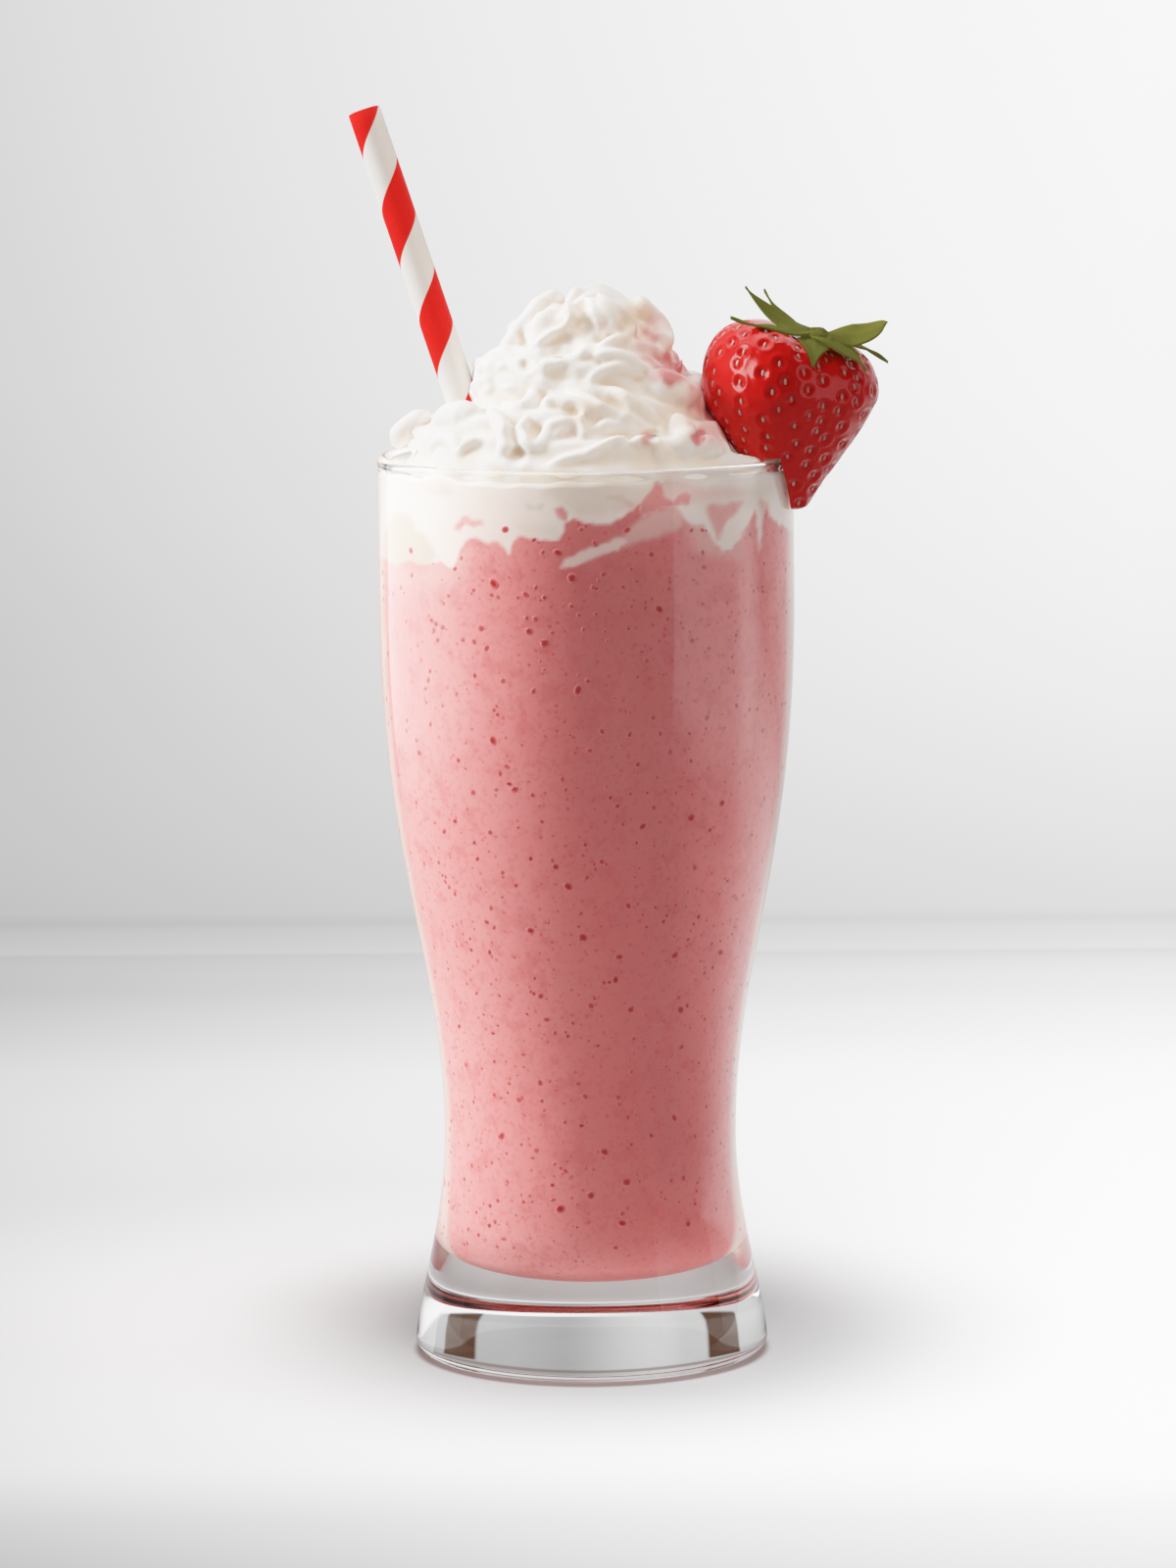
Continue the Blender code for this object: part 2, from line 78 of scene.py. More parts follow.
MM = 0.001
BODY = "root"
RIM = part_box("glass")[1].z
VIEW_PLACE = (0.0, -1.298, 0.2997)
VIEW_PITCH_DEG = 8.0
VIEW_ROLL_DEG = -0.4


# ---------------------------------------------------------------- settings


def length(name, description, default):
    return bpy.props.FloatProperty(
        name=name, description=description, default=default, unit="LENGTH", precision=4
    )


def angle(name, description, default_deg):
    return bpy.props.FloatProperty(
        name=name, description=description, default=math.radians(default_deg), subtype="ANGLE"
    )


def share(name, description, default):
    return bpy.props.FloatProperty(
        name=name, description=description, default=default, min=0.0, max=1.0, subtype="FACTOR"
    )


def count(name, description, default):
    return bpy.props.IntProperty(name=name, description=description, default=default, min=1)


def strength(name, description, default):
    return bpy.props.FloatProperty(name=name, description=description, default=default, min=0.0)


def colour(name, description, default):
    return bpy.props.FloatVectorProperty(
        name=name, description=description, default=default, size=3, min=0.0, max=1.0, subtype="COLOR"
    )


class GlassSettings(bpy.types.PropertyGroup):
    foot_radius: length("Foot radius", "Radius of the foot at its widest", 36.3 * MM)
    foot_edge: length("Foot edge", "Height and reach of the foot's rounded edge", 2.6 * MM)
    waist_radius: length("Waist radius", "Outer radius at the waist", 30.0 * MM)
    waist_height: length("Waist height", "Height of the waist", 45.0 * MM)
    belly_radius: length("Belly radius", "Outer radius at the belly", 42.3 * MM)
    belly_height: length("Belly height", "Height where the belly is full", 155.0 * MM)
    neck_inset: length("Neck inset", "How far the outside draws in below the lip", 0.15 * MM)
    wall: length("Wall", "Thickness of the wall", 2.3 * MM)
    lip_radius: length("Lip radius", "Radius of the rounded lip", 1.4 * MM)
    lip_flare: length("Lip flare", "How far the lip stands out from the neck", 0.2 * MM)
    cavity_bottom: length("Cavity bottom", "Height of the cavity's floor", 16.5 * MM)
    cavity_dish: length("Cavity dish", "Rise of the cavity's floor to its corner", 0.8 * MM)
    cavity_corner: length("Cavity corner", "Radius of the cavity's rounded corner", 12.0 * MM)
    sides: count("Sides", "Steps round the glass", 224)
    tint: colour("Tint", "Colour of the clear glass", (0.985, 0.99, 0.985))


class ShakeSettings(bpy.types.PropertyGroup):
    overlap: length("Overlap", "How far the shake reaches into the wall, so that no air shows", 0.15 * MM)
    level: length("Level", "Height where shake and cream meet at the wall", 171.5 * MM)
    top: length("Top", "Height of the highest cream that touches the wall", 182.2 * MM)
    columns: count("Columns", "Steps round the shake", 520)
    speck_count: count("Specks", "Number of fruit specks at the wall", 1350)
    pink: colour("Pink", "Colour of the shake", (0.80, 0.225, 0.22))
    # Pale pink serves both the shake's random paler swirls and the painted light on its left side.
    pale_pink: colour("Pale pink", "Colour where more cream is mixed in", (0.84, 0.34, 0.33))
    thin_cream: colour("Thin cream", "Colour of the cream along the wall", (0.93, 0.85, 0.77))
    beige: colour("Beige", "Colour of the cream's shaded places along the wall", (0.66, 0.54, 0.43))
    deep_pink: colour("Deep pink", "Colour of the pulp in the shake", (0.60, 0.10, 0.11))
    speck: colour("Speck", "Colour of the fruit specks", (0.36, 0.012, 0.018))


class CreamSettings(bpy.types.PropertyGroup):
    voxel: length("Voxel", "Grain of the cream's mesh", 0.5 * MM)
    folds: count("Folds", "Number of loose folds round the sides and the back", 54)
    lobes: count("Lobes", "Ridges of the piping nozzle", 8)
    groove: share("Groove", "Depth of the grooves, as a share of the rope's radius", 0.20)
    white: colour("White", "Colour of the cream", (0.94, 0.922, 0.90))
    # Painted shade of the cream, in its hollows and its shaded places.
    hollow: colour("Hollow", "Colour of the cream between its folds", (0.86, 0.72, 0.58))
    # Colour of the cream's pink places.
    stain: colour("Stain", "Colour where the fruit has tinted the cream", (0.66, 0.24, 0.25))


class StrawSettings(bpy.types.PropertyGroup):
    radius: length("Radius", "Outer radius of the straw", 3.35 * MM)
    wall: length("Wall", "Thickness of the paper", 0.4 * MM)
    length: length("Length", "Length of the straw", 197.0 * MM)
    lean_side: angle("Lean to the side", "Lean towards the left", 18.4)
    lean_back: angle("Lean back", "Lean towards the back", 8.0)
    pitch: length("Pitch", "Rise of the stripe in one turn", 23.5 * MM)
    phase: share("Phase", "Where the stripe starts round the straw", 0.57)
    red: colour("Red", "Colour of the stripe", (0.88, 0.016, 0.012))
    paper: colour("Paper", "Colour of the paper", (0.87, 0.84, 0.80))


class BerrySettings(bpy.types.PropertyGroup):
    seeds: count("Seeds", "Number of seeds on the skin", 190)
    columns: count("Columns", "Steps round the strawberry", 240)
    rows: count("Rows", "Steps down the strawberry", 170)
    dimple: length("Dimple", "Depth of the seed dimples", 0.42 * MM)
    red: colour("Red", "Colour of the skin", (0.80, 0.011, 0.008))
    # Painted shade: the skin is painted this dark red in the seed dimples.
    dark: colour("Dark red", "Colour of the skin in the grooves", (0.30, 0.004, 0.005))
    seed: colour("Seed", "Colour of the seeds", (0.90, 0.42, 0.34))
    leaf: colour("Leaf", "Colour of the leaves", (0.098, 0.096, 0.017))


class StageSettings(bpy.types.PropertyGroup):
    camera_place: bpy.props.FloatVectorProperty(
        name="Camera place",
        description="Where the camera stands",
        default=VIEW_PLACE,
        size=3,
        subtype="TRANSLATION",
    )
    camera_pitch: angle("Camera pitch", "How far the camera looks down", VIEW_PITCH_DEG)
    camera_roll: angle("Camera roll", "How far the camera is rolled", VIEW_ROLL_DEG)
    lens: bpy.props.FloatProperty(
        name="Lens", description="Focal length in millimetres", default=147.15
    )
    key: strength("Key light", "Brightness of the main lamp, on the left", 40.0)
    fill: strength("Fill light", "Brightness of the weak lamp on the right", 0.28)
    above: strength("Top light", "Brightness of the lamp above", 3.4)
    cream_fill: strength("Cream light", "Brightness of the lamp for the cream and the straw", 5.6)
    cream_warmth: colour("Cream light's colour", "Colour of the lamp for the cream and the straw", (1.0, 0.80, 0.64))
    berry_fill: strength("Strawberry light", "Brightness of the lamp for the strawberry's front", 0.75)
    left_glint: strength("Left glint", "Brightness of the lamp that the strawberry mirrors on the left", 17.0)
    right_glint: strength("Right glint", "Brightness of the lamp that the strawberry mirrors on the right", 1.7)
    left_panel: strength("Left panel", "Brightness of the panel that the glass mirrors on the left", 2.8)
    right_panel: strength("Right panel", "Brightness of the panel that the glass mirrors on the right", 1.12)
    sweep: strength("Backdrop light", "Brightness of the lamp for the backdrop", 14.0)
    room: strength("Room light", "Brightness of the even light from all round", 0.32)
    shadow: share("Shadow", "Tone of the floor at the edge of the foot", 0.33)


# ---------------------------------------------------------------- shader maths


class Value:
    """A number from a socket, on which Python's operators add Math nodes."""

    def __init__(self, nodes, socket):
        self.nodes = nodes
        self.socket = socket

    def _math(self, operation, *inputs):
        return self.nodes.value("ShaderNodeMath", {"operation": operation}, dict(enumerate(inputs)))

    def __add__(self, other):
        return self._math("ADD", self, other)

    def __radd__(self, other):
        return self._math("ADD", other, self)

    def __sub__(self, other):
        return self._math("SUBTRACT", self, other)

    def __rsub__(self, other):
        return self._math("SUBTRACT", other, self)

    def __mul__(self, other):
        return self._math("MULTIPLY", self, other)

    def __rmul__(self, other):
        return self._math("MULTIPLY", other, self)

    def __truediv__(self, other):
        return self._math("DIVIDE", self, other)

    def __pow__(self, other):
        return self._math("POWER", self, other)

    def __mod__(self, other):
        return self._math("FLOORED_MODULO", self, other)

    def __abs__(self):
        return self._math("ABSOLUTE", self)

    def step(self, low, high, out_low=0.0, out_high=1.0):
        """A smooth step from out_low at low to out_high at high."""
        return self.nodes.value(
            "ShaderNodeMapRange",
            {"interpolation_type": "SMOOTHSTEP"},
            {"Value": self, "From Min": low, "From Max": high, "To Min": out_low, "To Max": out_high},
        )


def under_skin(weight, spread, reach):
    """How light spreads below a surface."""
    return {"Subsurface Weight": weight, "Subsurface Radius": spread, "Subsurface Scale": reach}


class Nodes:
    """Builds the nodes of a new material, or of a light."""

    def __init__(self, name, light=None):
        self.owner = light or bpy.data.materials.new(name)
        self.owner.use_nodes = True
        self.tree = self.owner.node_tree
        self.tree.nodes.clear()

    def node(self, kind, settings=None, inputs=None):
        """Adds a node: its settings first, then the values or links of its sockets."""
        made = self.tree.nodes.new(kind)
        for key, setting in (settings or {}).items():
            if key == "stops":
                self._set_stops(made.color_ramp, setting)
            else:
                setattr(made, key, setting)
        for key, given in (inputs or {}).items():
            socket = self._input(made, key)
            if isinstance(given, Value):
                given = given.socket
            if isinstance(given, bpy.types.NodeSocket):
                self.tree.links.new(given, socket)
            elif socket.type == "RGBA" and len(given) == 3:
                socket.default_value = (*given, 1.0)
            else:
                socket.default_value = given
        return made

    @staticmethod
    def _input(made, key):
        if isinstance(key, int):
            return made.inputs[key]
        usable = [socket for socket in made.inputs if socket.name == key and socket.enabled]
        return usable[0]

    @staticmethod
    def _set_stops(ramp, stops):
        while len(ramp.elements) < len(stops):
            ramp.elements.new(0.5)
        for element, (position, shade) in zip(ramp.elements, stops):
            element.position = position
            element.color = (*shade, 1.0)

    def value(self, kind, settings=None, inputs=None, output=0):
        made = self.node(kind, settings, inputs)
        return Value(self, made.outputs[output])

    def mix(self, factor, low, high):
        """A colour between low and high."""
        made = self.node("ShaderNodeMix", {"data_type": "RGBA"}, {"Factor": factor, "A": low, "B": high})
        return made.outputs[2]

    def object_place(self):
        return self.node("ShaderNodeTexCoord").outputs["Object"]

    def axes(self, vector):
        """The three parts of a vector."""
        split = self.node("ShaderNodeSeparateXYZ", None, {0: vector})
        return tuple(Value(self, socket) for socket in split.outputs)

    def noise(self, place, scale, detail=2.0, roughness=0.5):
        inputs = {"Vector": place, "Scale": scale, "Detail": detail, "Roughness": roughness}
        return self.value("ShaderNodeTexNoise", None, inputs)

    def attribute(self, name):
        return self.value("ShaderNodeAttribute", {"attribute_name": name}, None, output=2)

    def bump(self, height, strong, distance):
        inputs = {"Height": height, "Strength": strong, "Distance": distance}
        return self.node("ShaderNodeBump", None, inputs).outputs[0]

    def finish(self, shader):
        """Makes the shader the material's surface."""
        self.node("ShaderNodeOutputMaterial", None, {0: shader})
        return self.owner

    def principled(self, inputs):
        return self.node("ShaderNodeBsdfPrincipled", None, inputs).outputs[0]


# ---------------------------------------------------------------- shapes


def bezier(start, pull_start, pull_end, end, steps):
    """Points along a cubic curve, without the first."""
    points = []
    for i in range(1, steps + 1):
        t = i / steps
        weights = ((1 - t) ** 3, 3 * t * (1 - t) ** 2, 3 * t * t * (1 - t), t**3)
        corners = (start, pull_start, pull_end, end)
        points.append(tuple(sum(w * p[k] for w, p in zip(weights, corners)) for k in range(2)))
    return points


def arc(center, reach, start_deg, end_deg, steps):
    """Points on an ellipse about center, angles from +radius towards +height, both ends included."""
    points = []
    for i in range(steps + 1):
        turn = math.radians(start_deg + (end_deg - start_deg) * i / steps)
        points.append((center[0] + reach[0] * math.cos(turn), center[1] + reach[1] * math.sin(turn)))
    return points


def lathe(outline, sides, ring=False):
    """A turned body from (radius, height) points that start and end on the axis, or that close a ring off it."""
    bm = bmesh.new()
    verts = [bm.verts.new((radius, 0.0, height)) for radius, height in outline]
    following = verts[1:] + verts[:1] if ring else verts[1:]
    edges = [bm.edges.new(pair) for pair in zip(verts, following)]
    bmesh.ops.spin(
        bm,
        geom=verts + edges,
        cent=(0, 0, 0),
        axis=(0, 0, 1),
        angle=math.tau,
        steps=sides,
        use_merge=True,
        use_duplicate=False,
    )
    bmesh.ops.remove_doubles(bm, verts=bm.verts, dist=0.002 * MM)
    bmesh.ops.recalc_face_normals(bm, faces=bm.faces)
    return bm


def as_mesh(name, bm, finishes=()):
    """The bmesh as a mesh with its materials; the bmesh is freed."""
    mesh = bpy.data.meshes.new(name)
    bm.to_mesh(mesh)
    bm.free()
    for finish in finishes:
        mesh.materials.append(finish)
    return mesh


def in_scene(name, data):
    """A new object in the scene."""
    made = bpy.data.objects.new(name, data)
    bpy.context.scene.collection.objects.link(made)
    return made


def applied_mesh(made):
    """A new mesh of the object with its modifiers or its bevel applied."""
    bpy.context.view_layer.update()
    return bpy.data.meshes.new_from_object(made.evaluated_get(bpy.context.evaluated_depsgraph_get()))


def add_piece(name, bm, finishes, replaced=()):
    """Makes the bmesh a piece of the object, in place and smooth."""
    mesh = as_mesh(name, bm, finishes)
    mesh.shade_smooth()
    piece = in_scene(name, mesh)
    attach(piece, BODY)
    if replaced:
        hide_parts(*replaced)
    return piece


def smoothstep(low, high, x):
    t = max(0.0, min(1.0, (x - low) / (high - low)))
    return t * t * (3 - 2 * t)


def belly_curve(waist, belly, steps):
    """The S-shaped stretch from the waist to the belly, for the outside and the inside alike."""
    rise = belly[1] - waist[1]
    pull_low = (waist[0], waist[1] + rise / 3)
    pull_high = (belly[0], belly[1] - rise / 2)
    return bezier(waist, pull_low, pull_high, belly, steps)


def outer_outline(glass):
    flat_radius = glass.foot_radius - glass.foot_edge
    points = [(0.0, 0.0), (flat_radius * 0.5, 0.0)]
    points += arc((flat_radius, glass.foot_edge), (glass.foot_edge,) * 2, -90, 0, 10)
    flare = (35.2 * MM, 13.5 * MM)  # pulls the side of the foot outwards
    waist = (glass.waist_radius, glass.waist_height)
    points += bezier(points[-1], flare, (glass.waist_radius, glass.waist_height * 0.62), waist, 22)
    points += belly_curve(waist, (glass.belly_radius, glass.belly_height), 40)
    points.append((glass.belly_radius - glass.neck_inset, RIM - 3.2 * glass.lip_radius))
    return points


def cavity_outline(glass, steps=40):
    waist_radius = glass.waist_radius - glass.wall
    corner_radius = glass.cavity_corner
    corner = (waist_radius - corner_radius, glass.cavity_bottom + glass.cavity_dish + corner_radius)
    points = [(0.0, glass.cavity_bottom), (corner[0] * 0.5, glass.cavity_bottom + glass.cavity_dish * 0.3)]
    points += arc(corner, (corner_radius, corner_radius), -90, -8, 16)
    points.append((waist_radius, glass.waist_height))
    points += belly_curve(points[-1], (glass.belly_radius - glass.wall, glass.belly_height), steps)
    points.append((glass.belly_radius - glass.neck_inset - glass.wall, RIM - 3.2 * glass.lip_radius))
    return points


def radius_at(outline, height):
    """Radius of an outline at a height."""
    for (r0, z0), (r1, z1) in zip(outline, outline[1:]):
        if z0 <= height <= z1 and z1 > z0:
            return r0 + (r1 - r0) * (height - z0) / (z1 - z0)
    return outline[-1][0]


VIEW_REACH = 1300.2  # distance in mm at which the rim's middle is seen
VIEW_DROP = 66.9  # how far the middle of the picture lies below the rim's middle, in mm
VIEW = (
    Matrix.Translation(VIEW_PLACE)
    @ Matrix.Rotation(math.pi / 2 - math.radians(VIEW_PITCH_DEG), 4, "X")
    @ Matrix.Rotation(math.radians(VIEW_ROLL_DEG), 4, "Z")
)
VIEW_INVERSE = VIEW.inverted()
LOOKS_LARGER = 2.2 * MM  # the wall of the cavity looks as wide as the outside of the glass
GLASS_BEND = 0.0376  # how much further round the inside of the wall is than it looks through the glass


def seen_from_front(place):
    """Where the camera sees a place, in mm to the right of the middle and above the rim."""
    seen = VIEW_INVERSE @ place
    return VIEW_REACH * seen.x / -seen.z, VIEW_REACH * seen.y / -seen.z - VIEW_DROP


def from_front(right, up):
    """The camera's line of sight to a spot in mm to the right of the middle and above the rim."""
    aim = Vector((right, up + VIEW_DROP, -VIEW_REACH)).normalized()
    return Vector(VIEW_PLACE), VIEW.to_3x3() @ aim


# ---------------------------------------------------------------- glass


def clear_glass_finish(settings):
    nodes = Nodes("clear_glass")
    glass = nodes.principled({"Base Color": settings.tint, "Roughness": 0.0, "IOR": 1.5, "Transmission Weight": 1.0})
    through = nodes.node("ShaderNodeBsdfTransparent", None, {"Color": (0.96, 0.97, 0.965)}).outputs[0]
    shadow_ray = nodes.node("ShaderNodeLightPath").outputs["Is Shadow Ray"]
    mixed = nodes.node("ShaderNodeMixShader", None, {0: shadow_ray, 1: glass, 2: through})
    return nodes.finish(mixed.outputs[0])


class MILKSHAKE_OT_glass(bpy.types.Operator):
    """Turns the footed glass with its thick base, thin wall and rounded lip"""

    bl_idname = "milkshake.glass"
    bl_label = "Glass"

    def execute(self, context):
        glass = context.scene.milkshake_glass
        outer = outer_outline(glass)
        lip_middle = (outer[-1][0] + glass.lip_flare - glass.lip_radius, RIM - glass.lip_radius)
        lip = arc(lip_middle, (glass.lip_radius,) * 2, -15, 195, 18)
        inner = list(reversed(cavity_outline(glass)))
        bm = lathe(outer + lip + inner, glass.sides)
        add_piece("glass_body", bm, [clear_glass_finish(glass)], ["glass"])
        return {"FINISHED"}


# ---------------------------------------------------------------- shake

# The lower edge of the cream along the wall where it faces the camera, in mm to the right of the middle and above
# the rim as the camera sees it.
FRONT_EDGE = (
    (-46.6, -15.5), (-42.8, -21.2), (-40.9, -21.6), (-38.5, -22.8), (-36.2, -21.6), (-33.8, -22.6),
    (-30.0, -22.1), (-27.9, -23.3), (-26.6, -22.1), (-26.1, -20.0), (-25.0, -17.9), (-22.9, -16.9),
    (-21.5, -17.6), (-20.1, -18.4), (-18.2, -17.6), (-16.0, -20.2), (-15.3, -17.6), (-13.4, -16.9),
    (-10.6, -17.5), (-7.8, -18.0), (-5.9, -17.6), (-5.2, -16.0), (-4.8, -14.1), (-3.0, -13.4),
    (-1.1, -13.8), (1.7, -14.4), (4.5, -14.2), (6.9, -13.1), (8.6, -11.8), (10.2, -10.3),
    (11.4, -12.7), (15.0, -11.0), (17.8, -10.8), (20.0, -13.6), (21.2, -14.6), (23.5, -14.8),
    (24.8, -17.0), (27.3, -19.8), (29.4, -19.4), (31.1, -17.1), (32.9, -13.6), (33.9, -11.5),
    (34.5, -15.5), (34.8, -20.2), (35.4, -15.5), (36.0, -10.8), (37.7, -13.6), (40.5, -15.5),
    (44.4, -16.9), (44.4, 30.0), (-46.6, 30.0),
)
# Thin cream over the shake, seen the same way: strength, softness of its edge in mm and outline.
CREAM_PATCHES = (
    (0.80, 0.5, (
        (-5.6, -23.2), (-4.4, -21.6), (-1.1, -19.8), (3.6, -18.2), (6.9, -17.1), (8.2, -17.6), (6.4, -19.5),
        (1.7, -20.9), (-2.1, -22.4), (-4.4, -23.3),
    )),
    (0.42, 1.0, (
        (3.6, -18.4), (6.9, -17.1), (8.8, -15.0), (10.7, -13.7), (13.1, -11.9), (17.3, -10.8), (19.4, -12.2),
        (19.0, -15.0), (14.0, -16.9), (9.3, -18.0), (6.4, -19.5),
    )),
    (0.14, 2.4, ((-46.0, -20.0), (-24.0, -20.0), (-26.0, -27.0), (-34.0, -29.0), (-46.0, -27.0))),
    (0.30, 1.6, ((19.0, -13.0), (32.0, -14.0), (30.0, -21.5), (22.0, -20.0))),
)
# Shake showing through the cream, seen the same way.
SHAKE_PATCHES = (
    (0.85, 0.5, (
        (-27.2, -15.5), (-26.1, -13.7), (-24.8, -12.3), (-23.6, -13.4), (-21.5, -13.5), (-21.1, -14.5),
        (-22.9, -15.1), (-24.8, -14.6), (-26.0, -15.7),
    )),
    (0.80, 0.5, ((-6.8, -11.3), (-5.2, -10.9), (-4.2, -11.9), (-4.4, -14.0), (-5.9, -13.3))),
    (0.90, 0.5, (
        (10.0, -10.5), (11.2, -8.9), (12.8, -7.4), (13.8, -6.0), (15.2, -6.5), (15.4, -8.4), (17.3, -9.8),
        (18.3, -8.4), (19.7, -7.5), (21.0, -8.6), (20.2, -10.2), (17.3, -10.8), (14.2, -11.5), (11.2, -12.9),
    )),
    (0.75, 0.6, (
        (23.9, -10.3), (27.3, -10.5), (31.4, -9.7), (30.1, -11.9), (28.2, -14.1), (26.3, -17.4), (25.1, -15.5),
        (24.4, -12.7),
    )),
    (0.55, 0.6, ((34.9, -9.6), (36.7, -10.3), (37.0, -16.9), (36.3, -21.2), (35.4, -16.9))),
    (0.30, 1.4, ((6.0, -11.0), (12.0, -8.0), (16.0, -5.0), (24.0, -6.5), (34.0, -8.0), (22.0, -10.0), (10.0, -12.0))),
)
# Beige places of the cream on the wall, seen the same way: painted shade, with a few small darker streaks.
BEIGE_SHADE_PATCHES = (
    (1.00, 0.9, ((-41.0, -14.5), (-38.5, -11.5), (-36.0, -12.5), (-34.5, -15.5), (-32.0, -18.0), (-30.5, -21.0),
        (-34.0, -24.5), (-41.5, -23.0))),
    (0.60, 1.6, ((-9.0, -4.5), (8.0, -4.5), (18.0, -5.0), (24.0, -7.0), (12.0, -9.0), (6.0, -12.0), (-2.0, -13.0),
        (-6.0, -10.0), (-9.0, -8.0))),
    (0.50, 2.0, ((18.0, -6.0), (38.0, -6.0), (36.0, -11.0), (24.0, -12.0))),
    (0.80, 0.5, ((-12.6, -10.4), (-9.2, -10.5), (-9.4, -11.6), (-12.0, -11.5))),
    (1.00, 0.5, ((3.2, -8.3), (7.0, -8.2), (9.6, -10.2), (9.0, -11.0), (6.0, -9.8), (3.0, -9.3))),
    (0.50, 0.7, ((-33.0, -7.2), (-28.0, -6.8), (-27.5, -8.2), (-31.0, -9.0))),
    (0.30, 1.2, ((-15.0, -14.0), (-6.0, -14.5), (-6.0, -17.0), (-13.0, -16.5))),
)
# The same edge round the sides and the back: heading from the front in degrees, and drop below the level in mm.
BACK_EDGE = (
    (80, -2.0), (96, 3.8), (108, -1.8), (122, 2.6), (132, 5.6), (140, -0.6), (156, -3.0), (168, 2.0),
    (180, 4.4), (190, -1.0), (204, -2.0), (216, 4.8), (226, 1.0), (242, -1.8), (256, 3.6), (268, 0.0), (280, 3.2),
)
FAR_OUT = 3.5  # how far outside an outline a spot may lie and still count as near it, in mm
BACK_FROM, BACK_TO = 86.0, 274.0  # the headings that the camera doesn't see


def inside_by(outline, right, up):
    """How far a spot lies inside a closed outline; negative outside, where it stops counting at FAR_OUT."""
    if not min(x for x, _ in outline) - FAR_OUT < right < max(x for x, _ in outline) + FAR_OUT:
        return -FAR_OUT
    if not min(y for _, y in outline) - FAR_OUT < up < max(y for _, y in outline) + FAR_OUT:
        return -FAR_OUT
    nearest = 1e9
    inside = False
    for (x0, y0), (x1, y1) in zip(outline, outline[1:] + outline[:1]):
        run, rise = x1 - x0, y1 - y0
        t = ((right - x0) * run + (up - y0) * rise) / (run * run + rise * rise)
        t = min(1.0, max(0.0, t))
        nearest = min(nearest, math.hypot(right - x0 - t * run, up - y0 - t * rise))
        if (y0 > up) != (y1 > up) and right < x0 + run * (up - y0) / rise:
            inside = not inside
    return nearest if inside else -nearest


def seen_through_wall(heading, place):
    """Where the camera sees a place on the inside of the wall, in mm to the right and above the rim."""
    looks = math.radians(math.remainder(heading, 360.0)) * (1 - GLASS_BEND)
    reach = place.xy.length + LOOKS_LARGER
    return seen_from_front(Vector((reach * math.sin(looks), -reach * math.cos(looks), place.z)))


def painted_edge_reflection(heading, place):
    """Pale streaks in the colour of thin cream along both sides of the wall, where the glass shows its edges: a
    painted reflection.
    """
    wander = 1.5 * noise.noise(place / (9.0 * MM))
    side = abs(math.remainder(heading, 360.0)) + wander
    streak = noise.noise(Vector((heading * 0.30, place.z * 16.0, 0.0)))
    far = 94.0 + 7.0 * noise.noise(place / (16.0 * MM))
    return (0.66 + 0.3 * streak) * smoothstep(73.0, 81.0, side) * (1 - smoothstep(far - 6.0, far + 6.0, side))


def patch_cover(patches, right, up, wander):
    """How strongly the strongest of the patches marks a spot."""
    return max(
        strong * smoothstep(-soft, soft, inside_by(outline, right, up) + wander) for strong, soft, outline in patches
    )


def beige_shade_cover(heading, place):
    """How beige the cream on the wall is: painted shade at the front, and beige at random at the back."""
    if BACK_FROM < heading % 360.0 < BACK_TO:
        return 0.5 * smoothstep(0.0, 0.4, noise.noise(place / (7.0 * MM)))
    right, up = seen_through_wall(heading, place)
    return patch_cover(BEIGE_SHADE_PATCHES, right, up, 0.5 * noise.noise(place / (2.0 * MM)))


def cream_cover(heading, place, level):
    """0 where the wall shows shake and 1 where it shows cream; heading from the front in degrees."""
    fine = noise.noise(place / (1.6 * MM))
    slow = noise.noise(place / (5.0 * MM))
    around = heading % 360.0
    if BACK_FROM < around < BACK_TO:
        drop = 0.0
        for (a0, d0), (a1, d1) in zip(BACK_EDGE, BACK_EDGE[1:]):
            if a0 <= around <= a1:
                drop = d0 + (d1 - d0) * smoothstep(a0, a1, around)
        return smoothstep(-0.6, 0.6, (place.z - level) / MM + drop - 1.6 * slow - 0.7 * fine)
    right, up = seen_through_wall(heading, place)
    wander = 0.45 * fine + 0.35 * slow
    cover = smoothstep(-0.45, 0.45, inside_by(FRONT_EDGE, right, up) + wander)
    cover = max(cover, patch_cover(CREAM_PATCHES, right, up, wander))
    return min(cover, 1 - patch_cover(SHAKE_PATCHES, right, up, wander))


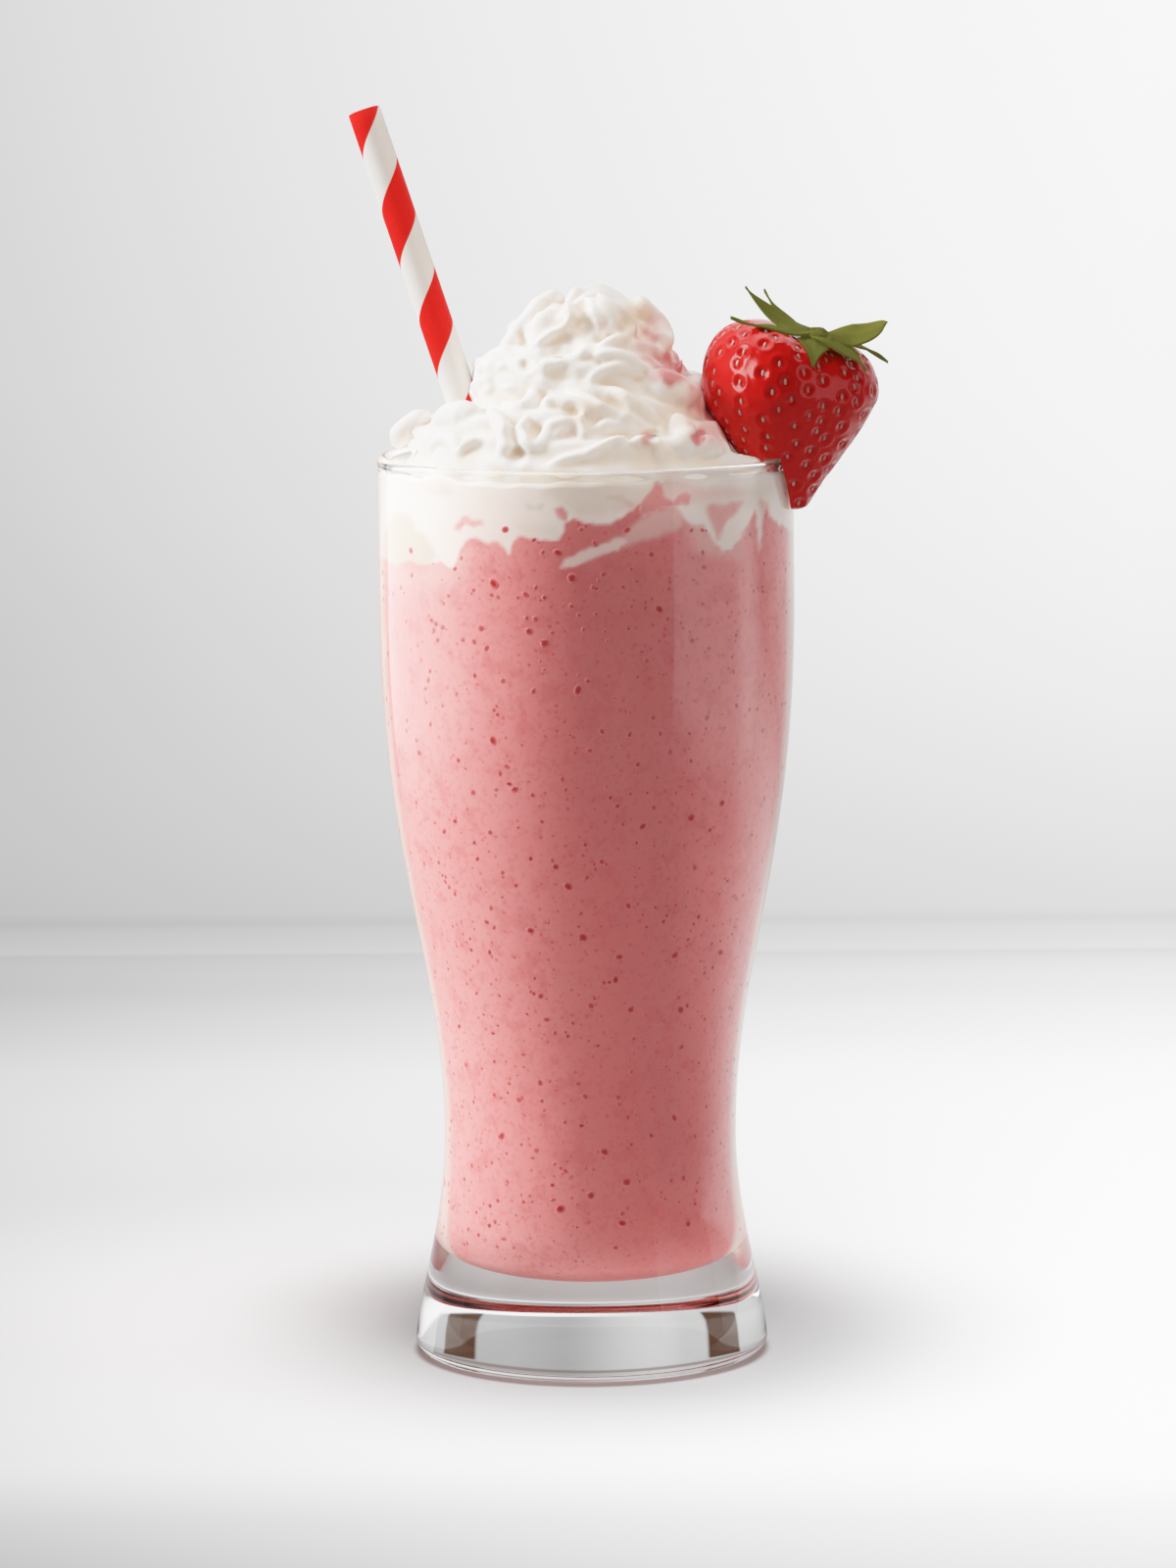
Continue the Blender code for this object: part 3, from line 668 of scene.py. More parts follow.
def shake_finish(settings, cream_white):
    nodes = Nodes("pink_shake")
    place = nodes.object_place()
    pulp = nodes.noise(place, 900.0, 3.0, 0.6).step(0.50, 0.68)
    swirl = nodes.noise(place, 60.0, 2.0, 0.5).step(0.35, 0.7)
    cloud = nodes.noise(place, 26.0, 3.0, 0.55).step(0.38, 0.68)
    x, y, height = nodes.axes(place)
    # Painted light and shade: the shake is painted paler towards the left, where the key lamp falls, and darker in
    # the middle of the front.
    x = x + (height - 0.137) * 0.07
    painted_light_left = 1 - x.step(-0.026, 0.0)
    body = nodes.mix(cloud * 0.22 + swirl * 0.12 + painted_light_left * 0.5, settings.pink, settings.pale_pink)
    # Painted shade in the middle of the front.
    painted_shade_front = x.step(-0.014, 0.004) * (1 - x.step(0.010, 0.024)) * (1 - y.step(-0.01, 0.01))
    body = nodes.mix(painted_shade_front * 0.42, body, (0.47, 0.095, 0.09))
    mottle = nodes.noise(place, 210.0, 3.0, 0.6).step(0.50, 0.66)
    body = nodes.mix(mottle * 0.28, body, settings.deep_pink)
    body = nodes.mix(pulp * 0.34, body, settings.deep_pink)
    grains = nodes.value("ShaderNodeTexVoronoi", {"feature": "F1"}, {"Vector": place, "Scale": 420.0})
    tiny = 1 - grains.step(0.10, 0.19)
    body = nodes.mix(tiny * 0.70, body, settings.deep_pink)
    # Painted shade: the bottom of the shake is painted darker, for the dark red line seen through the thick base.
    body = nodes.mix(height.step(0.0178, 0.0212, 0.8, 0.0), body, (0.34, 0.075, 0.065))
    # Painted reflection: seen mirrored in the foot of the glass, the shake is painted dark red, for a dark red line
    # there.
    path = nodes.node("ShaderNodeLightPath").outputs
    bounced = Value(nodes, path["Diffuse Depth"]).step(0.4, 0.6)
    mirrored = Value(nodes, path["Ray Depth"]).step(1.4, 1.6) * (1 - bounced)
    body = nodes.mix(mirrored, body, (0.32, 0.030, 0.022))
    cover = nodes.attribute("cream")
    cream = nodes.mix(swirl * 0.14 + cloud * 0.10, cream_white, settings.pale_pink)
    # Painted shade: the cream on the wall turns beige in its shaded places.
    cream = nodes.mix(nodes.attribute("beige") * 0.9, cream, settings.beige)
    shade = nodes.mix(cover, body, cream)
    shader = nodes.principled(
        {
            "Base Color": shade,
            "Roughness": 0.5,
            "Specular IOR Level": 0.1,
            **under_skin(0.35, (1.0, 0.45, 0.40), 2.2 * MM),
        }
    )
    return nodes.finish(shader)


# The specks that stand out at the front: mm to the right and above the rim as the camera sees them, and width.
FRONT_SPECKS = (
    (-19.1, -26.4, 1.9), (-19.6, -28.7, 0.9), (-3.2, -25.3, 1.9), (-6.1, -20.1, 1.6), (3.1, -24.5, 1.2),
    (-1.4, -15.4, 1.1), (1.4, -18.2, 1.2), (7.9, -15.5, 1.3), (-12.7, -28.6, 1.2), (-10.7, -27.2, 0.9),
    (-8.8, -38.5, 1.6), (14.4, -31.6, 1.7), (8.8, -31.1, 1.0), (7.1, -27.1, 1.1), (13.0, -34.9, 1.0),
    (10.9, -40.2, 1.1), (11.9, -42.0, 1.0), (21.1, -38.0, 1.2), (23.2, -30.6, 0.9), (23.5, -23.1, 1.2),
    (-21.7, -35.5, 1.2), (-25.4, -37.8, 1.0), (-23.1, -38.2, 1.1), (-20.6, -39.5, 1.1), (-29.5, -35.3, 1.1),
    (-10.7, -33.6, 1.1), (-12.0, -36.1, 1.4), (-12.5, -33.4, 0.9), (-35.9, -19.7, 1.3), (-16.8, -15.4, 1.3),
    (-9.2, -20.0, 0.9), (1.6, -32.6, 0.9), (-0.9, -35.7, 0.9), (1.0, -27.2, 1.0), (-1.8, -32.8, 1.0),
    (-3.3, -31.0, 1.1), (12.8, -20.5, 1.3), (8.7, -23.5, 1.0), (9.9, -26.0, 0.9), (16.6, -26.1, 0.8),
    (11.6, -30.2, 0.9), (-7.3, -36.4, 0.9), (-2.0, -48.0, 1.9), (-19.3, -58.2, 1.7), (0.0, -46.2, 1.1),
    (-34.2, -60.7, 1.4), (-11.1, -48.2, 1.1), (-16.5, -63.5, 1.1), (-17.9, -64.9, 1.0), (-23.3, -68.7, 1.2),
    (0.4, -60.3, 1.2), (10.1, -63.1, 1.2), (2.8, -56.4, 1.2), (-5.2, -66.1, 1.1), (-14.9, -68.1, 1.4),
    (6.0, -71.5, 1.3), (11.1, -75.6, 1.5), (20.9, -73.9, 1.8), (27.2, -70.9, 1.5), (13.3, -71.9, 1.2),
    (-6.6, -83.8, 1.4), (-19.9, -76.8, 1.1), (-29.2, -76.6, 1.2), (2.8, -82.8, 1.3), (21.7, -84.0, 1.2),
    (-4.0, -87.8, 1.8), (-0.2, -86.0, 1.2), (8.2, -91.7, 1.4), (11.1, -93.5, 1.0), (22.5, -93.9, 1.2),
    (-11.7, -96.7, 1.5), (-1.0, -98.1, 1.9), (6.4, -102.1, 1.5), (17.7, -101.7, 1.7), (27.0, -101.1, 1.7),
    (-9.7, -110.0, 1.3), (0.6, -112.0, 1.4), (8.7, -112.8, 1.5), (18.9, -112.8, 1.8), (18.5, -110.4, 1.1),
    (5.6, -106.7, 1.6), (-8.5, -114.8, 1.2), (19.1, -120.4, 1.3), (8.9, -125.5, 1.1), (-2.0, -127.9, 1.1),
    (-9.9, -127.7, 1.2), (6.2, -130.7, 1.2), (-0.6, -130.5, 1.2), (17.7, -134.9, 1.5), (8.2, -134.7, 1.2),
    (-17.7, -138.5, 1.4), (3.4, -141.8, 1.7), (8.0, -148.0, 1.9), (0.6, -150.8, 1.6), (-5.8, -153.6, 1.8),
    (7.2, -156.6, 1.6), (21.1, -156.8, 1.5), (19.7, -147.2, 1.3), (22.3, -152.6, 1.2), (-24.9, -124.0, 1.1),
    (-14.3, -131.1, 1.1), (-10.7, -141.5, 1.0), (-18.1, -159.9, 1.1), (-32.4, -46.0, 1.1), (-36.8, -56.2, 1.0),
    (24.1, -53.6, 1.1), (35.4, -56.2, 1.2), (35.8, -69.9, 1.2),
)


def speck_finish(settings):
    """Dark in the middle and pink at the rim, where the shake hides the speck."""
    nodes = Nodes("fruit_speck")
    tone = nodes.attribute("tone")
    shade = nodes.mix(tone, settings.pink, settings.speck)
    shader = nodes.principled({"Base Color": shade, "Roughness": 0.6, "Specular IOR Level": 0.1})
    return nodes.finish(shader)


def shake_outline(shake, cavity):
    """Radius and height from the bottom's middle up the wall, and over a shoulder under the cream."""
    grown = [(max(r + shake.overlap, 0.0) if r else 0.0, z - shake.overlap) for r, z in cavity]
    fine_from = shake.level - 12 * MM
    wall = [point for point in grown if point[1] < fine_from]
    rows = round((shake.top - fine_from) / (0.5 * MM))
    for i in range(rows + 1):
        height = fine_from + (shake.top - fine_from) * i / rows
        wall.append((radius_at(cavity, height) + shake.overlap, height))
    shoulder = wall[-1][0]
    wall += [(shoulder - 1.2 * MM, shake.top + 0.8 * MM), (shoulder - 5 * MM, shake.top + 1.2 * MM)]
    wall += [(shoulder * 0.5, shake.top + 1.2 * MM), (0.0, shake.top + 1.2 * MM)]
    return wall


class MILKSHAKE_OT_shake(bpy.types.Operator):
    """Fills the glass with pink shake up to the cream, with cream smears along the wall and fruit specks"""

    bl_idname = "milkshake.shake"
    bl_label = "Shake"

    def execute(self, context):
        shake = context.scene.milkshake_shake
        cavity = cavity_outline(context.scene.milkshake_glass)
        bm = lathe(shake_outline(shake, cavity), shake.columns)
        cover = bm.verts.layers.float.new("cream")
        beige = bm.verts.layers.float.new("beige")
        for vert in bm.verts:
            height = (vert.co.z - shake.level) / MM
            heading = math.degrees(math.atan2(vert.co.x, -vert.co.y))
            # Painted reflection: pale streaks along both sides of the wall, tinted beige below the cream.
            edge_reflection = painted_edge_reflection(heading, vert.co)
            if height < -12:
                vert[cover] = edge_reflection
                vert[beige] = 0.6
                continue
            vert[cover] = max(edge_reflection, cream_cover(heading, vert.co, shake.level))
            vert[beige] = beige_shade_cover(heading, vert.co)
            # The top edge of the cream along the wall is wavy.
            if vert.co.z > shake.top - 2 * MM:
                wave = noise.noise(Vector((vert.co.x, vert.co.y, 0.0)) * 160.0)
                vert.co.z += 1.1 * MM * wave * smoothstep(-2 * MM, 0.0, vert.co.z - shake.top)
        finish = shake_finish(shake, shake.thin_cream)
        add_piece("milkshake_body", bm, [finish], ["milkshake"])
        self.add_specks(shake, cavity, outer_outline(context.scene.milkshake_glass))
        return {"FINISHED"}

    def add_specks(self, shake, cavity, outer):
        draw = random.Random(4)
        places = []
        tones = []
        wall = BVHTree.FromBMesh(lathe(outer, 120))
        for right, up, width in FRONT_SPECKS:
            hit = wall.ray_cast(*from_front(right, up))[0]
            if hit is None:
                continue
            turn = math.atan2(hit.x, -hit.y) / (1 - GLASS_BEND)
            places.append(self.speck_place(draw, cavity, shake.overlap, turn, hit.z, width * 0.58 * MM))
            tones.append(0.70 + 0.30 * smoothstep(0.9, 1.6, width))
        for _ in range(shake.speck_count):
            turn = draw.uniform(-math.pi, math.pi)
            height = draw.uniform(19 * MM, shake.level + 3 * MM)
            size = draw.uniform(0.22, 0.60) * MM
            if abs(turn) > 1.4 and draw.random() < 0.25:
                size = draw.uniform(0.4, 0.9) * MM
            place = Vector((math.sin(turn), -math.cos(turn), 0.0)) * radius_at(cavity, height)
            place.z = height
            if cream_cover(math.degrees(turn), place, shake.level) > 0.5:
                continue
            places.append(self.speck_place(draw, cavity, shake.overlap, turn, height, size))
            tones.append(min(1.0, 0.45 + 0.35 * smoothstep(0.3 * MM, 0.8 * MM, size) + draw.uniform(0.0, 0.40)))
        add_piece("fruit_specks", scattered(places, tones), [speck_finish(shake)])

    @staticmethod
    def speck_place(draw, cavity, overlap, turn, height, size):
        """The placing matrix of a flat speck on the skin of the shake."""
        radius = radius_at(cavity, height) + overlap
        slope = (radius_at(cavity, height + MM) - radius_at(cavity, height - MM)) / (2 * MM)
        outward = Vector((math.sin(turn), -math.cos(turn), -slope)).normalized()
        place = Vector((radius * math.sin(turn), -radius * math.cos(turn), height))
        spin = outward.to_track_quat("Z", "Y").to_matrix().to_4x4()
        spin = spin @ Matrix.Rotation(draw.uniform(0, math.pi), 4, "Z")
        stretch = draw.uniform(0.8, 1.25)
        flat = Matrix.Diagonal((size * stretch, size / stretch, 0.10 * MM, 1.0))
        return Matrix.Translation(place) @ spin @ flat


# ---------------------------------------------------------------- whipped cream


# Folds of the cream on the side that faces the front: radius in mm, how far it stands out as a share of that,
# and its course in mm to the right of the middle and above the rim, as seen from the camera.
FOLDS = (
    (1.4, 1.2, ((-0.5, 33.0), (-2.5, 32.0), (-4.0, 29.5), (-3.5, 27.5), (-5.0, 25.0), (-8.0, 23.5), (-12.5, 20.0))),
    (1.5, 1.1, ((2.0, 32.5), (4.5, 30.0), (7.0, 28.0), (8.5, 25.5), (7.5, 23.5), (4.0, 22.0), (1.0, 20.5))),
    (1.5, 0.9, ((1.0, 20.5), (-2.0, 20.0), (-4.5, 18.5), (-7.5, 18.0), (-10.5, 17.5))),
    (2.6, 0.5, ((1.5, 31.5), (3.5, 28.5), (5.0, 25.5), (3.5, 22.5))),
    (1.2, 0.6, ((0.5, 32.0), (1.0, 28.5), (2.0, 25.5), (3.5, 23.0))),
    (2.2, 0.7, ((-7.5, 31.5), (-10.0, 29.5), (-12.0, 27.0), (-14.0, 24.5), (-15.5, 22.0), (-17.0, 20.0))),
    (1.7, 0.9, ((-5.0, 31.5), (-7.5, 31.5), (-9.5, 30.5))),
    (2.6, 0.5, ((-7.5, 29.0), (-8.5, 26.5), (-10.5, 24.5))),
    (3.0, 0.8, ((8.0, 30.5), (10.5, 29.0), (13.5, 26.0), (14.5, 23.0), (13.5, 21.0))),
    (3.2, 0.5, ((10.5, 26.5), (11.0, 24.0))),
    (1.6, 0.8, ((-16.5, 20.0), (-14.5, 18.0), (-12.5, 16.0), (-9.0, 15.0))),
    (1.2, 0.8, ((-14.5, 19.5), (-11.5, 18.0), (-9.0, 16.0))),
    (1.6, 0.9, ((-11.5, 15.0), (-8.0, 14.0), (-4.0, 14.0), (0.0, 14.0), (2.0, 16.0), (7.0, 17.5), (12.0, 15.5))),
    (1.7, 0.8, ((-0.5, 19.0), (4.0, 20.0), (8.0, 19.0), (11.0, 17.0), (13.5, 16.0))),
    (1.7, 0.8, ((-8.0, 13.0), (-2.0, 13.0), (2.5, 12.5), (6.0, 12.0), (9.0, 10.0), (12.0, 8.0), (14.5, 6.5))),
    (1.7, 0.8, ((-9.0, 11.5), (-5.0, 12.0), (-1.0, 11.0), (3.0, 9.0), (6.5, 7.5), (10.0, 6.0))),
    (1.5, 0.8, ((-10.0, 9.0), (-7.0, 10.5), (-3.0, 10.0), (0.0, 9.0), (3.0, 7.5))),
    (1.5, 1.0, ((-12.5, 7.5), (-13.5, 4.5), (-12.5, 2.5), (-10.5, 1.5), (-8.5, 3.5), (-7.0, 5.5), (-1.0, 7.5))),
    (1.1, 0.8, ((-2.0, 6.5), (-1.0, 4.5), (-0.5, 2.0))),
    (1.1, 0.8, ((-8.5, 1.5), (-5.5, 4.5), (-3.0, 5.5))),
    (1.2, 1.1, ((-8.5, -2.5), (-4.0, -1.0), (0.0, 0.0), (3.5, 1.5), (7.5, 3.5))),
    (1.6, 0.8, ((0.0, 3.5), (4.0, 5.5), (8.0, 5.0), (11.0, 3.5))),
    (1.6, 1.0, ((8.0, 2.0), (11.0, 2.5), (13.0, 2.5), (14.5, 0.5), (14.5, -2.5))),
    (2.0, 1.0, ((-20.0, 9.0), (-18.0, 6.5), (-17.0, 4.5), (-16.5, 1.5), (-18.0, -1.0))),
    (2.2, 0.8, ((-17.0, 10.0), (-14.5, 8.5), (-12.0, 9.5), (-10.5, 11.5), (-9.5, 14.0))),
    (3.6, 0.4, ((-20.0, 15.0), (-18.5, 12.0))),
    (3.6, 0.4, ((-15.0, 15.0), (-15.0, 12.0))),
    (3.6, 0.5, ((-31.0, 6.0), (-26.0, 7.0), (-21.0, 6.5))),
    (1.3, 0.9, ((-32.0, 1.0), (-30.5, 2.5), (-28.5, 3.0), (-27.0, 2.0), (-26.0, 0.0), (-24.0, 2.0), (-20.0, 2.5))),
    (3.2, 0.9, ((15.5, 5.5), (18.0, 5.0), (19.5, 2.5), (17.0, 0.5))),
    (2.4, 0.8, ((20.5, 1.5), (24.0, 1.5), (27.0, 0.5))),
    (4.2, 0.7, ((10.5, 13.5), (15.0, 13.0), (19.0, 11.5), (21.5, 9.0))),
    (3.3, 1.0, ((17.0, 17.5), (18.5, 16.5))),
    (2.4, 0.55, ((-39.0, 1.5), (-37.5, 4.5), (-35.0, 6.5), (-32.0, 8.0))),
)
# Hollows between the folds, seen the same way: place, reach and depth in mm.
HOLLOWS = (
    (-1.5, 30.0, 2.0, 1.6),
    (-1.0, 26.0, 2.6, 2.0),
    (-4.5, 22.0, 3.2, 1.8),
    (-7.5, 21.0, 2.4, 1.2),
    (-12.5, 18.0, 1.6, 1.0),
    (-6.0, 16.0, 3.0, 1.0),
    (4.5, 14.5, 3.4, 0.7),
    (-3.0, 8.6, 2.0, 1.0),
    (5.0, 9.2, 2.6, 0.8),
    (-9.8, 4.4, 2.4, 0.7),
    (-29.0, 0.8, 2.6, 0.6),
    (-23.5, 0.2, 3.2, 0.8),
    (-14.5, -0.5, 2.0, 1.2),
    (-15.0, 4.2, 2.2, 0.6),
    (4.5, -0.8, 4.0, 0.8),
    (14.5, 19.5, 2.2, 1.0),
    (13.0, 4.0, 1.6, 1.2),
    (22.5, 3.6, 1.6, 1.0),
)
# Pink places of the cream, seen the same way: place, reach in mm and strength.
PINK_TINTS = (
    (18.2, 17.4, 4.4, 1.00),
    (14.5, 17.5, 3.6, 0.45),
    (12.0, 22.0, 3.2, 0.50),
    (14.0, 26.0, 3.8, 0.45),
    (23.0, 11.0, 4.4, 0.70),
    (25.5, 5.0, 4.6, 0.60),
    (12.0, 3.4, 1.6, 0.80),
    (22.3, 3.4, 1.5, 0.90),
    (2.2, 26.0, 1.3, 0.35),
    (-5.0, 30.0, 1.6, 0.18),
    (-2.0, 6.0, 2.4, 0.16),
)
# Shaded, beige places of the cream, seen the same way.
SHADES = (
    (9.9, 26.5, 5.5, 0.90),
    (-3.0, 25.5, 4.0, 0.50),
    (0.0, 8.6, 5.0, 0.60),
    (8.0, 11.0, 4.5, 0.45),
    (19.9, 8.6, 6.0, 0.70),
    (12.0, -1.3, 6.0, 0.60),
    (-8.0, 4.7, 3.4, 0.10),
    (-24.0, -1.0, 3.2, 0.50),
    (-36.0, 4.0, 3.0, 0.40),
    (-18.5, -4.5, 2.6, 0.95),
    *((-12.6 + 1.7 * i, -4.3, 1.5, 0.95) for i in range(7)),
    *((-0.7 + 1.7 * i, -4.3, 1.4, 0.55) for i in range(5)),
)
# The piped rope from the first ring to the peak: turns, ring radius, height above the rim and rope radius, in mm.
ROPE_STOPS = (
    (0.00, 28.2, -3.0, 9.6),
    (0.50, 28.0, -2.2, 10.6),
    (1.00, 25.5, 0.5, 10.2),
    (1.35, 17.5, 7.5, 10.2),
    (1.70, 14.0, 11.5, 10.2),
    (2.20, 12.0, 14.5, 9.8),
    (2.55, 8.0, 18.5, 9.8),
    (2.95, 6.0, 21.5, 9.4),
    (3.30, 4.4, 24.6, 8.6),
    (3.60, 2.6, 28.4, 6.0),
    (3.80, 0.8, 32.6, 1.4),
)
ROPE_START_DEG = -150
ROPE_STEPS = 64  # steps of the rope in one turn
SIDE_REACH = 0.1  # how far from the axis the lines of sight from the side start, in m
MARKED_TO = 8 * MM  # how far back the pink places and the painted shades of the front reach


def berry_side(up):
    """How far right the cream reaches beside the strawberry, seen the same way."""
    return 26.6 + 0.5 * (5.0 - up) if up > 0.3 else 28.95 + 4.0 * (0.3 - up)


def weighed_by(spots, right, up, wander):
    """How strongly a list of soft round spots marks a place, up to 1."""
    total = 0.0
    for at_right, at_up, reach, strength in spots:
        off = math.hypot(right - at_right, up - at_up) / reach
        total += strength * (1 - smoothstep(0.35, 1.25, off + wander))
    return min(1.0, total)


def from_side(heading, up):
    """The line from outside to the axis, for a heading in degrees and a height in mm above the rim."""
    inward = Vector((-math.cos(math.radians(heading)), -math.sin(math.radians(heading)), 0.0))
    return Vector((0.0, 0.0, RIM + up * MM)) - inward * SIDE_REACH, inward


def smooth_course(points, steps):
    """Points on a smooth curve through the given ones."""
    ends = [points[0], *points, points[-1]]
    course = []
    for a, b, c, d in zip(ends, ends[1:], ends[2:], ends[3:]):
        for i in range(steps):
            t = i / steps
            course.append(
                tuple(
                    0.5 * (2 * q + (r - p) * t + (2 * p - 5 * q + 4 * r - s) * t**2 + (3 * q - p - 3 * r + s) * t**3)
                    for p, q, r, s in zip(a, b, c, d)
                )
            )
    course.append(points[-1])
    return course


def laid_fold(tree, sights, radius, lift):
    """The path of a fold that lies on the heap where the lines of sight meet it."""
    depths = []
    for origin, direction in sights:
        hit = tree.ray_cast(origin, direction)[0]
        level = -origin.xy.dot(direction.xy) / direction.xy.length_squared
        depths.append((hit - origin).dot(direction) if hit else level)
    path = []
    last = len(sights) - 1
    for i, (origin, direction) in enumerate(sights):
        near = depths[max(0, i - 3) : i + 4]
        depth = sum(near) / len(near) + radius * (1 - lift)
        taper = 0.35 + 0.65 * smoothstep(0.0, 3.0, min(i, last - i))
        path.append((origin + direction * depth, radius * taper, 0.0))
    return path


def cream_path():
    """The piped rope's centreline, from the first ring up to the peak: point, rope radius and twist."""
    path = []
    noise.seed_set(3)  # else noise_vector is seeded by the clock
    for i in range(round(ROPE_STOPS[-1][0] * ROPE_STEPS) + 1):
        turns = min(i / ROPE_STEPS, ROPE_STOPS[-1][0])
        low = max(k for k in range(len(ROPE_STOPS) - 1) if ROPE_STOPS[k][0] <= turns + 1e-9)
        a, b = ROPE_STOPS[low], ROPE_STOPS[low + 1]
        ease = smoothstep(a[0], b[0], turns)
        ring_radius, lift, radius = (a[k] + (b[k] - a[k]) * ease for k in (1, 2, 3))
        heading = math.radians(ROPE_START_DEG) + math.tau * turns
        wobble = noise.noise_vector(Vector((turns * 5.5, 1.7, 0.0)))
        point = Vector((ring_radius * math.cos(heading), ring_radius * math.sin(heading), lift))
        point += wobble * 1.3
        path.append((point * MM + Vector((0, 0, RIM)), radius * MM, turns * 4.0 + 1.2 * wobble.x))
    return path


def star_curve(lobes, groove, points_per_lobe=6):
    """The nozzle's section: a star with rounded grooves, of radius 1 mm."""
    data = bpy.data.curves.new("nozzle", "CURVE")
    data.dimensions = "2D"
    total = lobes * points_per_lobe
    spline = data.splines.new("POLY")
    spline.points.add(total - 1)
    for i, point in enumerate(spline.points):
        wave = abs(math.cos(math.pi * i / points_per_lobe)) ** 0.8
        radius = MM * (1.0 - groove * (1 - wave))
        turn = math.tau * i / total
        point.co = (radius * math.cos(turn), radius * math.sin(turn), 0.0, 1.0)
    spline.use_cyclic_u = True
    return in_scene("nozzle", data)


def sweep(path, nozzle):
    """A bmesh of the nozzle's section swept along a path of point, radius and twist."""
    data = bpy.data.curves.new("rope", "CURVE")
    data.dimensions = "3D"
    data.twist_mode = "Z_UP"
    data.bevel_mode = "OBJECT"
    data.bevel_object = nozzle
    data.use_fill_caps = True
    spline = data.splines.new("POLY")
    spline.points.add(len(path) - 1)
    for point, (place, radius, twist) in zip(spline.points, path):
        point.co = (*place, 1.0)
        point.radius = radius / MM
        point.tilt = twist
    rope = in_scene("rope", data)
    mesh = applied_mesh(rope)
    bm = bmesh.new()
    bm.from_mesh(mesh)
    bpy.data.meshes.remove(mesh)
    bpy.data.objects.remove(rope)
    bpy.data.curves.remove(data)
    return bm


def join_into(bm, other):
    mesh = as_mesh("part", other)
    bm.from_mesh(mesh)
    bpy.data.meshes.remove(mesh)


def scattered(places, tones=None):
    """A bmesh of small round beads, one for each placing matrix; a bead's tone fades towards its rim."""
    unit = bmesh.new()
    bmesh.ops.create_icosphere(unit, subdivisions=2, radius=1.0)
    cores = [1 - smoothstep(0.4, 1.0, vert.co.xy.length) for vert in unit.verts]
    bead = as_mesh("bead", unit)
    bm = bmesh.new()
    for place in places:
        bead.transform(place)
        bm.from_mesh(bead)
        bead.transform(place.inverted())
    bpy.data.meshes.remove(bead)
    if tones:
        tone = bm.verts.layers.float.new("tone")
        for i, vert in enumerate(bm.verts):
            vert[tone] = tones[i // len(cores)] * cores[i % len(cores)]
    return bm


def voxel_merged(bm, voxel):
    """The bmesh's outer skin, remeshed to one closed mesh of that grain."""
    mesh = as_mesh("loose", bm)
    loose = in_scene("loose", mesh)
    remesh = loose.modifiers.new("Merge", "REMESH")
    remesh.mode = "VOXEL"
    remesh.voxel_size = voxel
    merged = applied_mesh(loose)
    made = bmesh.new()
    made.from_mesh(merged)
    bpy.data.meshes.remove(merged)
    bpy.data.objects.remove(loose)
    bpy.data.meshes.remove(mesh)
    return made


def cream_finish(settings):
    nodes = Nodes("whipped_cream")
    place = nodes.object_place()
    stain = nodes.attribute("stain")
    soft = nodes.noise(place, 120.0, 2.0).step(0.3, 0.7)
    white = nodes.mix(soft * 0.35, settings.white, (0.92, 0.885, 0.84))
    # Painted shade: the cream is painted beige in its hollows and its shaded places.
    white = nodes.mix(nodes.attribute("hollow") * 0.95, white, settings.hollow)
    shade = nodes.mix(stain, white, settings.stain)
    fine = nodes.noise(place, 1800.0, 2.0, 0.6)
    shader = nodes.principled(
        {
            "Base Color": shade,
            "Roughness": 0.42,
            "Specular IOR Level": 0.35,
            **under_skin(0.35, (1.0, 0.75, 0.6), 1.4 * MM),
            "Normal": nodes.bump(fine, 0.15, 0.15 * MM),
        }
    )
    return nodes.finish(shader)


